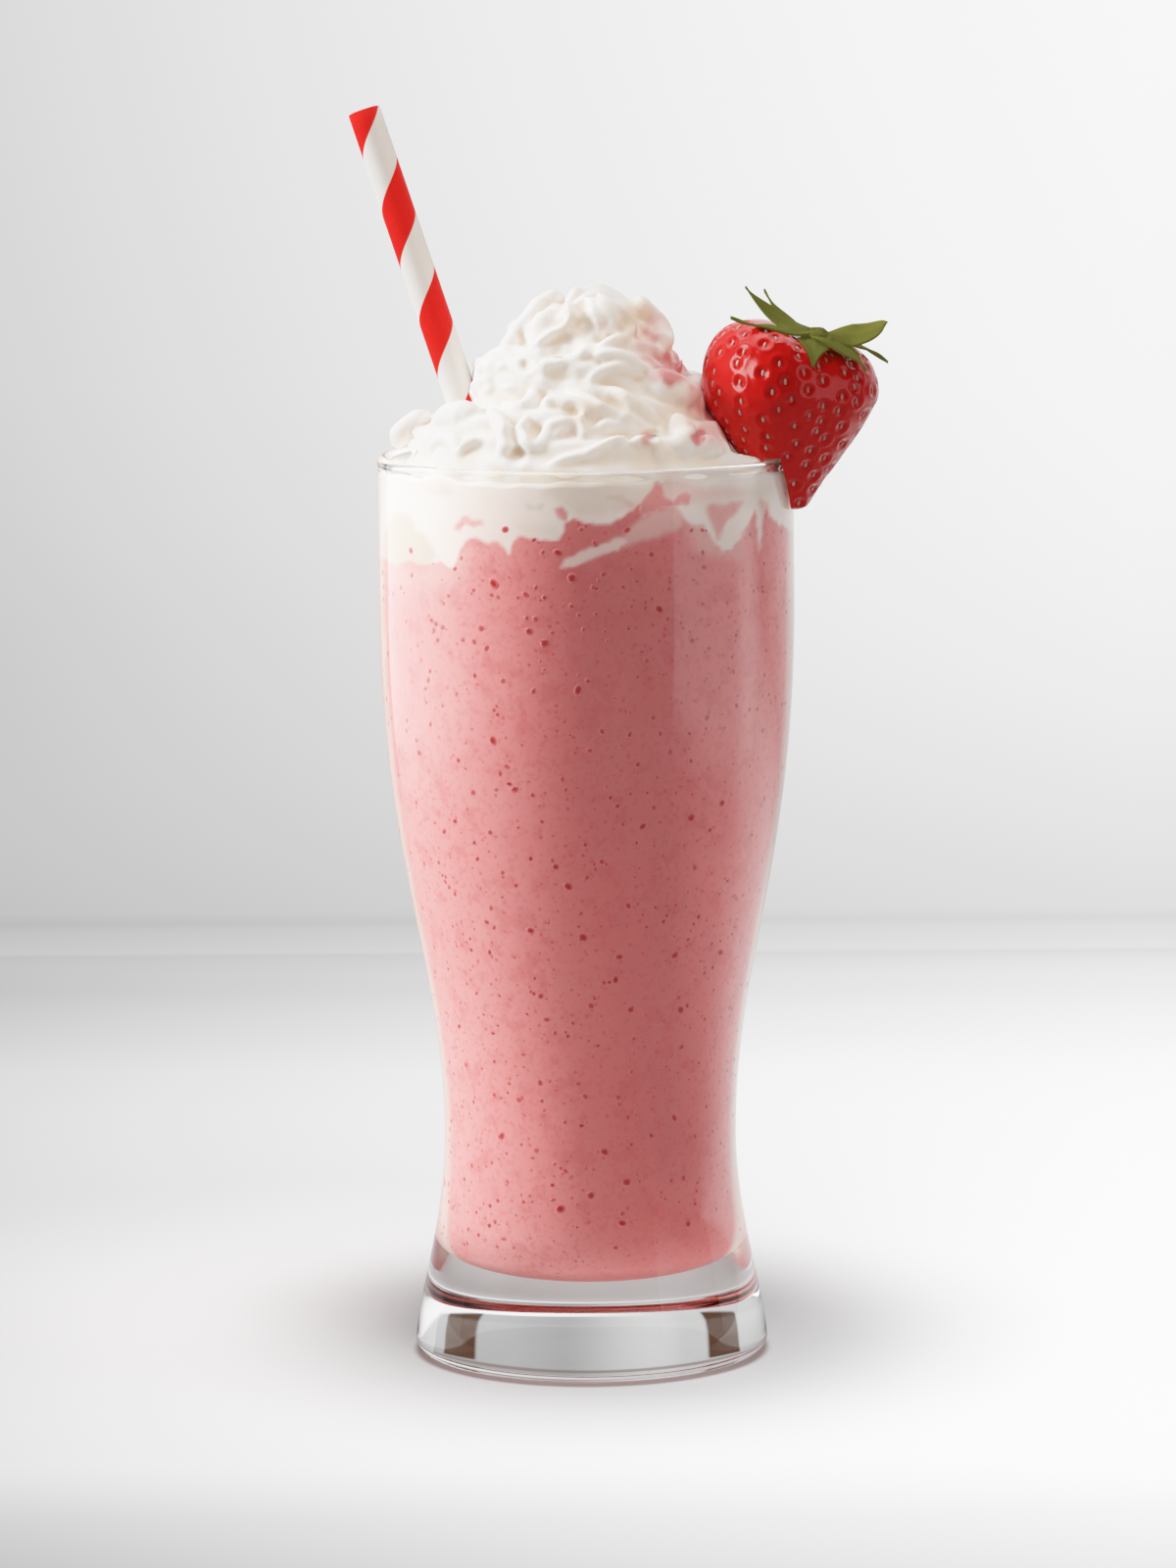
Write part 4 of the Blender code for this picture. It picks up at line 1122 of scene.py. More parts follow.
class MILKSHAKE_OT_cream(bpy.types.Operator):
    """Pipes the whipped cream in tiers over a filled bed, and merges it into one soft heap"""

    bl_idname = "milkshake.cream"
    bl_label = "Whipped cream"

    def execute(self, context):
        cream = context.scene.milkshake_cream
        shake = context.scene.milkshake_shake
        cavity = cavity_outline(context.scene.milkshake_glass)
        nozzle = star_curve(cream.lobes, cream.groove)
        bm = sweep(cream_path(), nozzle)
        bpy.data.objects.remove(nozzle)
        join_into(bm, self.core(cavity, shake))
        bm = voxel_merged(bm, cream.voxel * 1.4)
        self.smooth(bm, 9)
        self.add_folds(bm, cream.folds)
        bm = voxel_merged(bm, cream.voxel)
        self.smooth(bm, 2)
        self.crumple(bm)
        self.carve(bm)
        self.keep_inside(bm, context.scene.milkshake_glass)
        stain = bm.verts.layers.float.new("stain")
        for vert in bm.verts:
            vert[stain] = self.pink_tint_at(vert)
        add_piece("whipped_cream_heap", bm, [cream_finish(cream)], ["whipped_cream"])
        return {"FINISHED"}

    @staticmethod
    def core(cavity, shake):
        """The bed that fills the glass's mouth, and a cone inside the tiers."""
        wall = radius_at(cavity, RIM - 2 * MM) + shake.overlap
        outline = [
            (0.0, shake.level),
            (wall - 2 * MM, shake.level),
            (wall - 2 * MM, RIM - 3.0 * MM),
            (30 * MM, RIM + 4 * MM),
            (22 * MM, RIM + 10 * MM),
            (10 * MM, RIM + 22 * MM),
            (0.0, RIM + 26 * MM),
        ]
        return lathe(outline, 48)

    @staticmethod
    def add_folds(bm, loose_folds):
        """Lays the folds of the front, and looser ones round the sides and the back."""
        tree = BVHTree.FromBMesh(bm)
        nozzle = star_curve(1, 0.0, 12)
        for radius, lift, points in FOLDS:
            sights = [from_front(*point) for point in smooth_course(points, 4)]
            join_into(bm, sweep(laid_fold(tree, sights, radius * MM, lift * 0.92), nozzle))
        draw = random.Random(7)
        for i in range(loose_folds):
            up = 30.0 * (i / loose_folds) ** 1.3 - 1.0
            heading = draw.uniform(12, 190)
            reach = draw.uniform(12, 24) * (1 + up / 30)
            rise = draw.uniform(-1.0, 4.5)
            bow = draw.uniform(-2.0, 2.0)
            points = [
                (heading + reach * t, up + rise * t + bow * math.sin(math.pi * t)) for t in (0.0, 0.33, 0.67, 1.0)
            ]
            radius = draw.uniform(1.2, 2.2) * MM
            sights = [from_side(*point) for point in smooth_course(points, 5)]
            join_into(bm, sweep(laid_fold(tree, sights, radius, draw.uniform(0.6, 0.95)), nozzle))
        bpy.data.objects.remove(nozzle)

    @staticmethod
    def smooth(bm, rounds):
        for _ in range(rounds):
            bmesh.ops.smooth_vert(bm, verts=bm.verts, factor=0.5, use_axis_x=True, use_axis_y=True, use_axis_z=True)

    @staticmethod
    def crumple(bm):
        """Presses in the hollows of the front, and gives the skin of the cream its small unevenness."""
        forward = from_front(0, 0)[1]
        bm.normal_update()
        for vert in bm.verts:
            right, up = seen_from_front(vert.co)
            press = 0.0
            if vert.normal.dot(forward) < 0:
                for at_right, at_up, reach, depth in HOLLOWS:
                    off = math.hypot(right - at_right, up - at_up) / reach
                    if off < 1.3:
                        press += depth * (1 - smoothstep(0.2, 1.3, off))
            edge = berry_side(up)
            if right > edge and vert.co.y < 12 * MM:
                vert.co.x -= (right - edge) * 0.9 * MM * smoothstep(12.0, 7.0, up)
            wave = noise.noise(vert.co / (6.5 * MM)) * 0.40
            vert.co += forward * press * MM + vert.normal * wave * MM

    @staticmethod
    def carve(bm):
        """Sharpens the folds, and paints shade into the cream: by how deep each spot lies between its neighbours, and
        at the front's shaded places.
        """
        hollow = bm.verts.layers.float.new("hollow")
        places = [vert.co.copy() for vert in bm.verts]
        MILKSHAKE_OT_cream.smooth(bm, 18)
        bm.normal_update()
        for vert, place in zip(bm.verts, places):
            stand = (place - vert.co).dot(vert.normal) / MM
            tint = 1 - smoothstep(-0.45, 0.15, stand)
            if place.y < MARKED_TO:
                tint = max(tint, weighed_by(SHADES, *seen_from_front(place), 0.0))
            vert[hollow] = tint
            vert.co = place + vert.normal * max(-0.6, min(0.5, 0.6 * stand)) * MM

    @staticmethod
    def keep_inside(bm, glass):
        """Presses what would cross the wall back inside the glass's mouth."""
        mouth = glass.belly_radius - glass.neck_inset - glass.wall - 0.1 * MM
        for vert in bm.verts:
            reach = vert.co.xy.length
            if reach > mouth:
                vert.co.xy *= mouth / reach

    @staticmethod
    def pink_tint_at(vert):
        if vert.co.y > MARKED_TO:
            return 0.0
        wander = 0.5 * noise.noise(vert.co / (2.6 * MM))
        return weighed_by(PINK_TINTS, *seen_from_front(vert.co), wander)


# ---------------------------------------------------------------- straw


STRAW_TOP = Vector((-44.6, 12.0, 254.2)) * MM


def straw_frame(settings):
    """Places a straw built down -Z from its top end."""
    side = Matrix.Rotation(-settings.lean_side, 4, "Y")
    back = Matrix.Rotation(-settings.lean_back, 4, "X")
    return Matrix.Translation(STRAW_TOP) @ (back @ side)


def striped_paper_finish(settings):
    nodes = Nodes("striped_paper")
    spot = nodes.node("ShaderNodeUVMap", {"uv_map": "wrap"}).outputs[0]
    around, along, _ = nodes.axes(spot)
    turn = (around + along) % 1.0
    red = turn.step(0.0, 0.012) * (1 - turn.step(0.5, 0.512))
    seam = 1 - abs(turn - 0.5).step(0.0, 0.02)
    place = nodes.object_place()
    fibre = nodes.noise(place, 1400.0, 3.0, 0.65)
    cloud = nodes.noise(place, 200.0, 2.0)
    paper = nodes.mix(cloud.step(0.35, 0.7) * 0.25, settings.paper, (0.80, 0.77, 0.73))
    ink = nodes.mix(fibre.step(0.45, 0.75) * 0.30, settings.red, (0.78, 0.04, 0.034))
    shade = nodes.mix(red, paper, ink)
    shade = nodes.mix(seam * 0.10, shade, (0.35, 0.2, 0.2))
    height = fibre * 0.5 + seam * -0.5
    shader = nodes.principled(
        {
            "Base Color": shade,
            "Roughness": 0.55,
            "Specular IOR Level": 0.15,
            "Normal": nodes.bump(height, 0.25, 0.1 * MM),
        }
    )
    return nodes.finish(shader)


class MILKSHAKE_OT_straw(bpy.types.Operator):
    """Rolls the striped paper straw"""

    bl_idname = "milkshake.straw"
    bl_label = "Straw"

    def execute(self, context):
        straw = context.scene.milkshake_straw
        edge = 0.1 * MM
        outer, inner = straw.radius, straw.radius - straw.wall
        outline = [(inner, -straw.length + edge), (inner + edge, -straw.length), (outer - edge, -straw.length)]
        rows = 60
        outline += [(outer, -straw.length + edge + (straw.length - 2 * edge) * i / rows) for i in range(rows + 1)]
        outline += [(outer - edge, 0.0), (inner + edge, 0.0), (inner, -edge)]
        bm = lathe(outline, 64, ring=True)
        wrap = bm.loops.layers.uv.new("wrap")
        for face in bm.faces:
            middle = face.calc_center_median()
            face_turn = math.atan2(middle.y, middle.x) / math.tau
            for loop in face.loops:
                turn = math.atan2(loop.vert.co.y, loop.vert.co.x) / math.tau
                turn = face_turn + math.remainder(turn - face_turn, 1.0)
                loop[wrap].uv = (turn + straw.phase, -loop.vert.co.z / straw.pitch)
        bmesh.ops.transform(bm, matrix=straw_frame(straw), verts=bm.verts)
        add_piece("paper_straw", bm, [striped_paper_finish(straw)], ["straw"])
        return {"FINISHED"}


# ---------------------------------------------------------------- strawberry

BERRY_MIDDLE = Vector((41.0, -8.6, 194.5)) * MM
BERRY_HALF_WIDTH = 17.8 * MM
BERRY_HALF_DEPTH = 15.4 * MM
BERRY_WIDEST = 4.0 * MM
BERRY_TOP = 17.6 * MM
BERRY_TIP = 20.2 * MM
BERRY_TIP_SHIFT = 0.6 * MM
BERRY_TILT = 0.17
BERRY_GROOVE = 0.15
BERRY_GROOVES = ((-62, 24), (112, 30))
BERRY_HOLLOW = (3.2 * MM, 7.5 * MM)
CALYX_PLACE = Vector((46.4, -12.5, 210.4)) * MM
SEED_REACH = (0.34 * MM, 0.70 * MM, 0.30 * MM)
SLIT_GAP = 0.3 * MM
SLIT_DEPTH = 60 * MM
LEAF_THICKNESS = 0.4 * MM
LEAF_CLEARANCE = 0.45 * MM


def berry_outline(rows):
    """Half width and height about the middle, from the top down to the tip."""
    shoulder = (BERRY_HALF_WIDTH, BERRY_TOP * 0.80)
    widest = (BERRY_HALF_WIDTH, BERRY_WIDEST)
    upper_rows = rows * 2 // 5
    points = [(0.0, BERRY_TOP)]
    points += bezier(points[0], (BERRY_HALF_WIDTH * 0.62, BERRY_TOP), shoulder, widest, upper_rows)
    low = (BERRY_HALF_WIDTH * 0.36, -BERRY_TIP * 0.66)
    waist = (BERRY_HALF_WIDTH, BERRY_WIDEST - BERRY_TIP * 0.28)
    nose = (BERRY_HALF_WIDTH * 0.17, -BERRY_TIP * 0.97)
    points += bezier(widest, waist, low, nose, rows - upper_rows - 8)
    points += bezier(
        nose, (BERRY_HALF_WIDTH * 0.10, -BERRY_TIP), (BERRY_HALF_WIDTH * 0.05, -BERRY_TIP), (0.0, -BERRY_TIP), 8
    )
    return points


def berry_place(width, height, azimuth):
    """Where a turned point goes: the lobes, the hollow round the calyx, the tilted top and the bent tip."""
    groove = 0.0
    for at_deg, reach_deg in BERRY_GROOVES:
        off = math.degrees(math.remainder(azimuth - math.radians(at_deg), math.tau))
        groove += math.exp(-((off / reach_deg) ** 2))
    top_share = (height + BERRY_TIP) / (BERRY_TOP + BERRY_TIP)
    swell = 1 - BERRY_GROOVE * groove * top_share + 0.02 * math.sin(3 * azimuth + 0.8)
    x = width * math.cos(azimuth) * swell
    y = width * math.sin(azimuth) * swell * BERRY_HALF_DEPTH / BERRY_HALF_WIDTH
    calyx = CALYX_PLACE - BERRY_MIDDLE
    off_calyx = Vector((x - calyx.x, y - calyx.y)).length / BERRY_HOLLOW[1]
    above = max(0.0, height / BERRY_TOP)
    z = height - BERRY_HOLLOW[0] * math.exp(-(off_calyx**2)) * above - BERRY_TILT * x * above
    below = max(0.0, -height / BERRY_TIP)
    return Vector((x + BERRY_TIP_SHIFT * below, y, z))


def plain_berry(rows, columns):
    """The strawberry without its dimples and its slit."""
    bm = lathe([(width, -height) for width, height in berry_outline(rows)], columns)
    for vert in bm.verts:
        azimuth = math.atan2(vert.co.y, vert.co.x)
        vert.co = BERRY_MIDDLE + berry_place(vert.co.xy.length, -vert.co.z, azimuth)
    bmesh.ops.recalc_face_normals(bm, faces=bm.faces)
    bm.normal_update()
    return bm


def skin_finish(settings):
    nodes = Nodes("strawberry_skin")
    place = nodes.object_place()
    pit = nodes.attribute("pit")
    cloud = nodes.noise(place, 90.0, 2.0).step(0.35, 0.7)
    skin = nodes.mix(cloud * 0.5, settings.red, (0.64, 0.006, 0.005))
    # Painted shade in the seed dimples.
    skin = nodes.mix(pit * 0.5, skin, settings.dark)
    fine = nodes.noise(place, 1500.0, 2.0)
    shader = nodes.principled(
        {
            "Base Color": skin,
            "Roughness": 0.17,
            "Specular IOR Level": 0.24,
            **under_skin(0.12, (1.0, 0.2, 0.1), 1.5 * MM),
            "Normal": nodes.bump(fine, 0.12, 0.1 * MM),
        }
    )
    return nodes.finish(shader)


def flesh_finish():
    nodes = Nodes("strawberry_flesh")
    place = nodes.object_place()
    cloud = nodes.noise(place, 300.0, 2.0).step(0.35, 0.7)
    shade = nodes.mix(cloud, (0.75, 0.25, 0.2), (0.62, 0.08, 0.06))
    return nodes.finish(nodes.principled({"Base Color": shade, "Roughness": 0.4}))


def seed_finish(settings):
    nodes = Nodes("strawberry_seed")
    place = nodes.object_place()
    patch = nodes.noise(place, 700.0).step(0.35, 0.65)
    shade = nodes.mix(patch, settings.seed, (0.84, 0.24, 0.20))
    return nodes.finish(nodes.principled({"Base Color": shade, "Roughness": 0.3}))


def leaf_finish(settings):
    nodes = Nodes("strawberry_leaf")
    place = nodes.object_place()
    blade = nodes.node("ShaderNodeUVMap", {"uv_map": "blade"}).outputs[0]
    _, across, _ = nodes.axes(blade)
    midrib = 1 - abs(across - 0.5).step(0.0, 0.06)
    cloud = nodes.noise(place, 220.0, 3.0).step(0.35, 0.7)
    green = nodes.mix(cloud * 0.5, settings.leaf, (0.086, 0.090, 0.016))
    green = nodes.mix(midrib * 0.35, green, (0.115, 0.12, 0.030))
    fine = nodes.noise(place, 900.0, 2.0)
    shader = nodes.principled(
        {
            "Base Color": green,
            "Roughness": 0.8,
            "Specular IOR Level": 0.06,
            # Painted light: the leaves glow faintly in their own green, which flattens their shading.
            "Emission Color": green,
            "Emission Strength": 0.6,
            **under_skin(0.1, (0.4, 1.0, 0.1), 1.0 * MM),
            "Normal": nodes.bump(fine, 0.3, 0.15 * MM),
        }
    )
    return nodes.finish(shader)


class MILKSHAKE_OT_berry(bpy.types.Operator):
    """Shapes the strawberry with its seed dimples, slit and seeds"""

    bl_idname = "milkshake.berry"
    bl_label = "Strawberry"

    def execute(self, context):
        berry = context.scene.milkshake_berry
        seeds = self.seed_places(berry_outline(berry.rows), berry.seeds)
        bm = plain_berry(berry.rows, berry.columns)
        tree = KDTree(len(seeds))
        for i, place in enumerate(seeds):
            tree.insert(place, i)
        tree.balance()
        pit = bm.verts.layers.float.new("pit")
        moved = []
        for vert in bm.verts:
            near = tree.find(vert.co)[2] / MM
            bowl = math.exp(-((near / 0.95) ** 2))
            swell = math.exp(-(((near - 1.75) / 0.5) ** 2))
            vert[pit] = bowl
            moved.append(vert.co + vert.normal * berry.dimple * (0.32 * swell - bowl))
        skin_tree = BVHTree.FromBMesh(bm)
        for vert, place in zip(bm.verts, moved):
            vert.co = place
        finishes = [skin_finish(berry), flesh_finish()]
        piece = add_piece("strawberry_body", bm, finishes, ["strawberry"])
        self.cut_slit(context, piece)
        self.add_seeds(berry, seeds, skin_tree)
        return {"FINISHED"}

    @staticmethod
    def seed_places(outline, seeds):
        """Seeds on a golden spiral, evenly spread over the skin from under the calyx to the tip."""
        areas = [0.0]
        for (r0, z0), (r1, z1) in zip(outline, outline[1:]):
            areas.append(areas[-1] + (r0 + r1) * math.hypot(r1 - r0, z1 - z0))
        golden = math.pi * (3 - math.sqrt(5))
        draw = random.Random(11)
        places = []
        for i in range(seeds):
            wanted = areas[-1] * (0.05 + 0.945 * (i + 0.5) / seeds)
            row = max(k for k in range(len(areas) - 1) if areas[k] <= wanted)
            t = (wanted - areas[row]) / (areas[row + 1] - areas[row])
            width = outline[row][0] + (outline[row + 1][0] - outline[row][0]) * t
            height = outline[row][1] + (outline[row + 1][1] - outline[row][1]) * t
            turn = i * golden + draw.uniform(-0.11, 0.11)
            places.append(BERRY_MIDDLE + berry_place(width, height, turn))
        return places

    @staticmethod
    def cut_slit(context, piece):
        """Cuts the slit that holds the strawberry on the rim."""
        glass = context.scene.milkshake_glass
        outer = glass.belly_radius + 0.15 * MM + SLIT_GAP
        inner = outer - 2 * glass.lip_radius - 2.5 * SLIT_GAP
        low, high = RIM - SLIT_DEPTH, RIM + SLIT_GAP
        bm = lathe([(inner, low), (outer, low), (outer, high), (inner, high)], 160, ring=True)
        slit = in_scene("slit", as_mesh("slit", bm, [piece.data.materials[1]]))
        step = piece.modifiers.new("Slit", "BOOLEAN")
        step.operation = "DIFFERENCE"
        step.object = slit
        step.solver = "EXACT"
        step.material_mode = "TRANSFER"
        cut = applied_mesh(piece)
        piece.modifiers.clear()
        piece.data = cut
        cut.shade_smooth()
        cut.set_sharp_from_angle(angle=math.radians(50))
        bpy.data.objects.remove(slit)

    @staticmethod
    def add_seeds(berry, seeds, skin_tree):
        placings = []
        down = Vector((0.0, 0.0, -1.0))
        for place in seeds:
            _, normal, _, _ = skin_tree.find_nearest(place)
            along = (down - normal * down.dot(normal)).normalized()
            across = normal.cross(along)
            turn = Matrix((across, along, normal)).transposed().to_4x4()
            size = Matrix.Diagonal((*SEED_REACH, 1.0))
            centre = place - normal * berry.dimple * 0.75
            placings.append(Matrix.Translation(centre) @ turn @ size)
        add_piece("strawberry_seeds", scattered(placings), [seed_finish(berry)])


SEPALS = (
    # heading, length, width, lift, curl, roll, blunt tip
    (168, 14.2, 5.6, 4.9, 4.0, -30, False),
    (197, 18.0, 3.8, 2.6, 0.6, -12, False),
    (264, 9.0, 7.0, -2.4, -4.0, 0, False),
    (329, 11.4, 7.8, -3.0, -4.2, -2, False),
    (350, 14.2, 6.2, -0.8, 2.6, 42, True),
    (22, 15.9, 3.8, -2.8, -3.9, 10, False),
    (76, 13.0, 5.4, -1.2, -1.6, 0, False),
    (150, 11.6, 3.8, 3.6, 4.4, 0, False),
)


class MILKSHAKE_OT_leaves(bpy.types.Operator):
    """Grows the leafy calyx on top of the strawberry"""

    bl_idname = "milkshake.leaves"
    bl_label = "Leaves"

    def execute(self, context):
        berry = context.scene.milkshake_berry
        tree = BVHTree.FromBMesh(plain_berry(60, 80))
        bm = bmesh.new()
        for shape in SEPALS:
            join_into(bm, self.sepal(tree, *shape))
        join_into(bm, self.disc())
        add_piece("strawberry_calyx", bm, [leaf_finish(berry)], ["strawberry_leaves"])
        return {"FINISHED"}

    @staticmethod
    def lifted(tree, place):
        """The place itself, or lifted clear of the strawberry."""
        above = Vector((place.x, place.y, CALYX_PLACE.z + 50 * MM))
        below, normal, _, _ = tree.ray_cast(above, Vector((0, 0, -1)))
        if below is None:
            return place
        lowest = below.z + LEAF_CLEARANCE / max(normal.z, 0.25)
        return Vector((place.x, place.y, max(place.z, lowest)))

    def sepal(self, tree, heading_deg, length, width, lift, curl, roll_deg, blunt):
        """One leaf as a thin closed solid, with its place along and across the blade kept as a UV map."""
        bm = bmesh.new()
        bmesh.ops.create_grid(bm, x_segments=40, y_segments=12, size=1.0)
        heading = Matrix.Rotation(math.radians(heading_deg), 4, "Z")
        blade_map = bm.loops.layers.uv.new("blade")
        for face in bm.faces:
            for loop in face.loops:
                loop[blade_map].uv = ((loop.vert.co.x + 1) / 2, (loop.vert.co.y + 1) / 2)
        for vert in bm.verts:
            t = (vert.co.x + 1) / 2
            side = vert.co.y
            swell = math.pi * (0.22 + 0.78 * t ** (2.4 if blunt else 0.8))
            taper = math.sin(swell) ** (0.7 if blunt else 1.0) if swell < math.pi else 0.0
            half = width * MM / 2 * max(0.05, taper)
            run = length * MM * t
            rise = lift * MM * t + curl * MM * t**3 - 1.4 * MM * t * (1 - t)
            ripple = 0.35 * MM * math.sin(9 * t + heading_deg) * side
            across = Matrix.Rotation(math.radians(roll_deg) * min(1.0, 2 * t), 4, "X")
            blade = across @ Vector((0.0, side * half, ripple - abs(side) * 0.12 * half))
            place = heading @ (Vector((run, 0.0, rise)) + blade)
            vert.co = self.lifted(tree, CALYX_PLACE + place)
        bm.normal_update()
        bmesh.ops.solidify(bm, geom=list(bm.faces), thickness=LEAF_THICKNESS)
        bmesh.ops.recalc_face_normals(bm, faces=bm.faces)
        return bm

    @staticmethod
    def disc():
        """The middle of the calyx."""
        bm = bmesh.new()
        bmesh.ops.create_cone(
            bm,
            cap_ends=True,
            segments=28,
            radius1=3.2 * MM,
            radius2=1.4 * MM,
            depth=1.6 * MM,
            matrix=Matrix.Translation(CALYX_PLACE),
        )
        bmesh.ops.bevel(bm, geom=bm.edges[:], offset=0.4 * MM, segments=3, profile=0.5, affect="EDGES", material=-1)
        return bm


# ---------------------------------------------------------------- stage


# The backdrop's tone by depth over the floor from the front, and on up the wall, in m.
BACKDROP_STOPS = (
    (0.00, 0.40), (0.06, 0.62), (0.10, 0.94), (0.14, 0.98), (0.46, 0.98), (0.51, 0.94), (0.56, 0.80), (0.60, 0.72),
    (0.63, 0.65), (0.660, 0.63), (0.672, 0.60), (0.682, 0.575), (0.693, 0.53), (0.700, 0.455), (0.705, 0.486),
    (0.710, 0.625), (0.725, 0.665), (0.75, 0.73), (0.78, 0.80), (0.82, 0.875), (0.86, 0.92), (0.92, 0.94),
    (1.00, 0.948),
)
BACKDROP_DEPTH = 0.50
BACKDROP_BEND = 0.008
BACKDROP_REACH = 4.0
BACKDROP_LOW = -0.3 * MM  # the floor lies this low, so that it doesn't cut the foot


def backdrop_finish(shadow):
    """Pale and matt, with the soft fall of light of a studio sweep; it gives less light back than it shows."""
    nodes = Nodes("pale_backdrop")
    x, y, z = nodes.axes(nodes.object_place())
    # Brighter towards the right, as seen from the camera, and darkest where the floor meets the wall.
    depth = nodes.value("ShaderNodeMath", {"operation": "MAXIMUM"}, {0: y + 1.3, 1: 0.8})
    across = nodes.value("ShaderNodeClamp", None, {"Value": x / depth * 2.9 + 0.75, "Min": 0.45, "Max": 1.0})
    far = y + z + 0.2
    evened = far.step(0.64, 0.70) * (1 - far.step(0.71, 0.80)) * 0.3
    across = across + (0.75 - across) * evened
    stops = tuple((place, (grey, grey, grey)) for place, grey in BACKDROP_STOPS)
    fall = nodes.value("ShaderNodeValToRGB", {"stops": stops}, {0: far})
    # Painted shadow on the floor round the foot.
    off_x, off_y = x - 0.008, (y - 0.012) * 0.9
    off_foot = (off_x * off_x + off_y * off_y) ** 0.5
    on_wall = z.step(0.0, 0.01)
    contact = off_foot.step(0.030, 0.104, shadow, 1.0) * (1 - on_wall) + on_wall
    # Painted light: back and to the left, where the drink's own shadow falls, the floor is painted lighter.
    off_x, off_y = x + 0.058, y - 0.075
    contact = contact * ((off_x * off_x + off_y * off_y) ** 0.5).step(0.0, 0.11, 1.38, 1.0)
    path = nodes.node("ShaderNodeLightPath").outputs
    through = Value(nodes, path["Is Transmission Ray"])
    # The foot of the glass shows the floor below it, and a stretch of the wall turned round. Seen through the glass,
    # the floor loses most of its painted shadow, and the wall gets painted shade: darker towards the right, with dark
    # patches at the sides and a dark line.
    contact = contact + through * (1 - contact) * 0.72
    in_foot = through * z.step(0.02, 0.04) * (1 - z.step(0.22, 0.26))
    side_shade_patch = in_foot * abs(x).step(0.255, 0.275) * (1 - abs(x).step(0.46, 0.49)) * z.step(0.082, 0.094)
    shade_through_foot = x.step(-0.16, 0.06, 1.0, 0.33)
    line = in_foot * z.step(0.060, 0.066) * (1 - z.step(0.078, 0.084))
    grey = across * fall * contact * (in_foot * (shade_through_foot - 1) + 1)
    grey_shade = nodes.node("ShaderNodeCombineColor", None, {0: grey, 1: grey, 2: grey}).outputs[0]
    shade = nodes.mix(side_shade_patch, grey_shade, (0.054, 0.024, 0.012))
    shade = nodes.mix(line * 0.7, shade, (0.12, 0.07, 0.06))
    # A thin ring of painted shadow where the foot stands.
    from_axis = (x * x + y * y) ** 0.5
    ring = from_axis.step(0.0310, 0.0335) * (1 - from_axis.step(0.0355, 0.0374)) * (1 - on_wall)
    shade = nodes.mix(ring * 0.85, shade, (0.075, 0.048, 0.045))
    # From behind, the camera looks through the backdrop.
    seen_behind = Value(nodes, nodes.node("ShaderNodeNewGeometry").outputs["Backfacing"])
    seen_behind = seen_behind * Value(nodes, path["Is Camera Ray"])
    matt = {"Roughness": 0.8, "Specular IOR Level": 0.0}
    shown = nodes.principled({"Base Color": shade, "Alpha": 1 - seen_behind, **matt})
    dim = nodes.principled({"Base Color": (0.1, 0.1, 0.1), **matt})
    mirrored = Value(nodes, path["Is Glossy Ray"]) * (1 - through)
    bounced = Value(nodes, path["Is Diffuse Ray"]) + mirrored * (0 - y).step(-0.15, 0.05, 0.35, 0.95)
    mixed = nodes.node("ShaderNodeMixShader", None, {0: bounced, 1: shown, 2: dim})
    return nodes.finish(mixed.outputs[0])


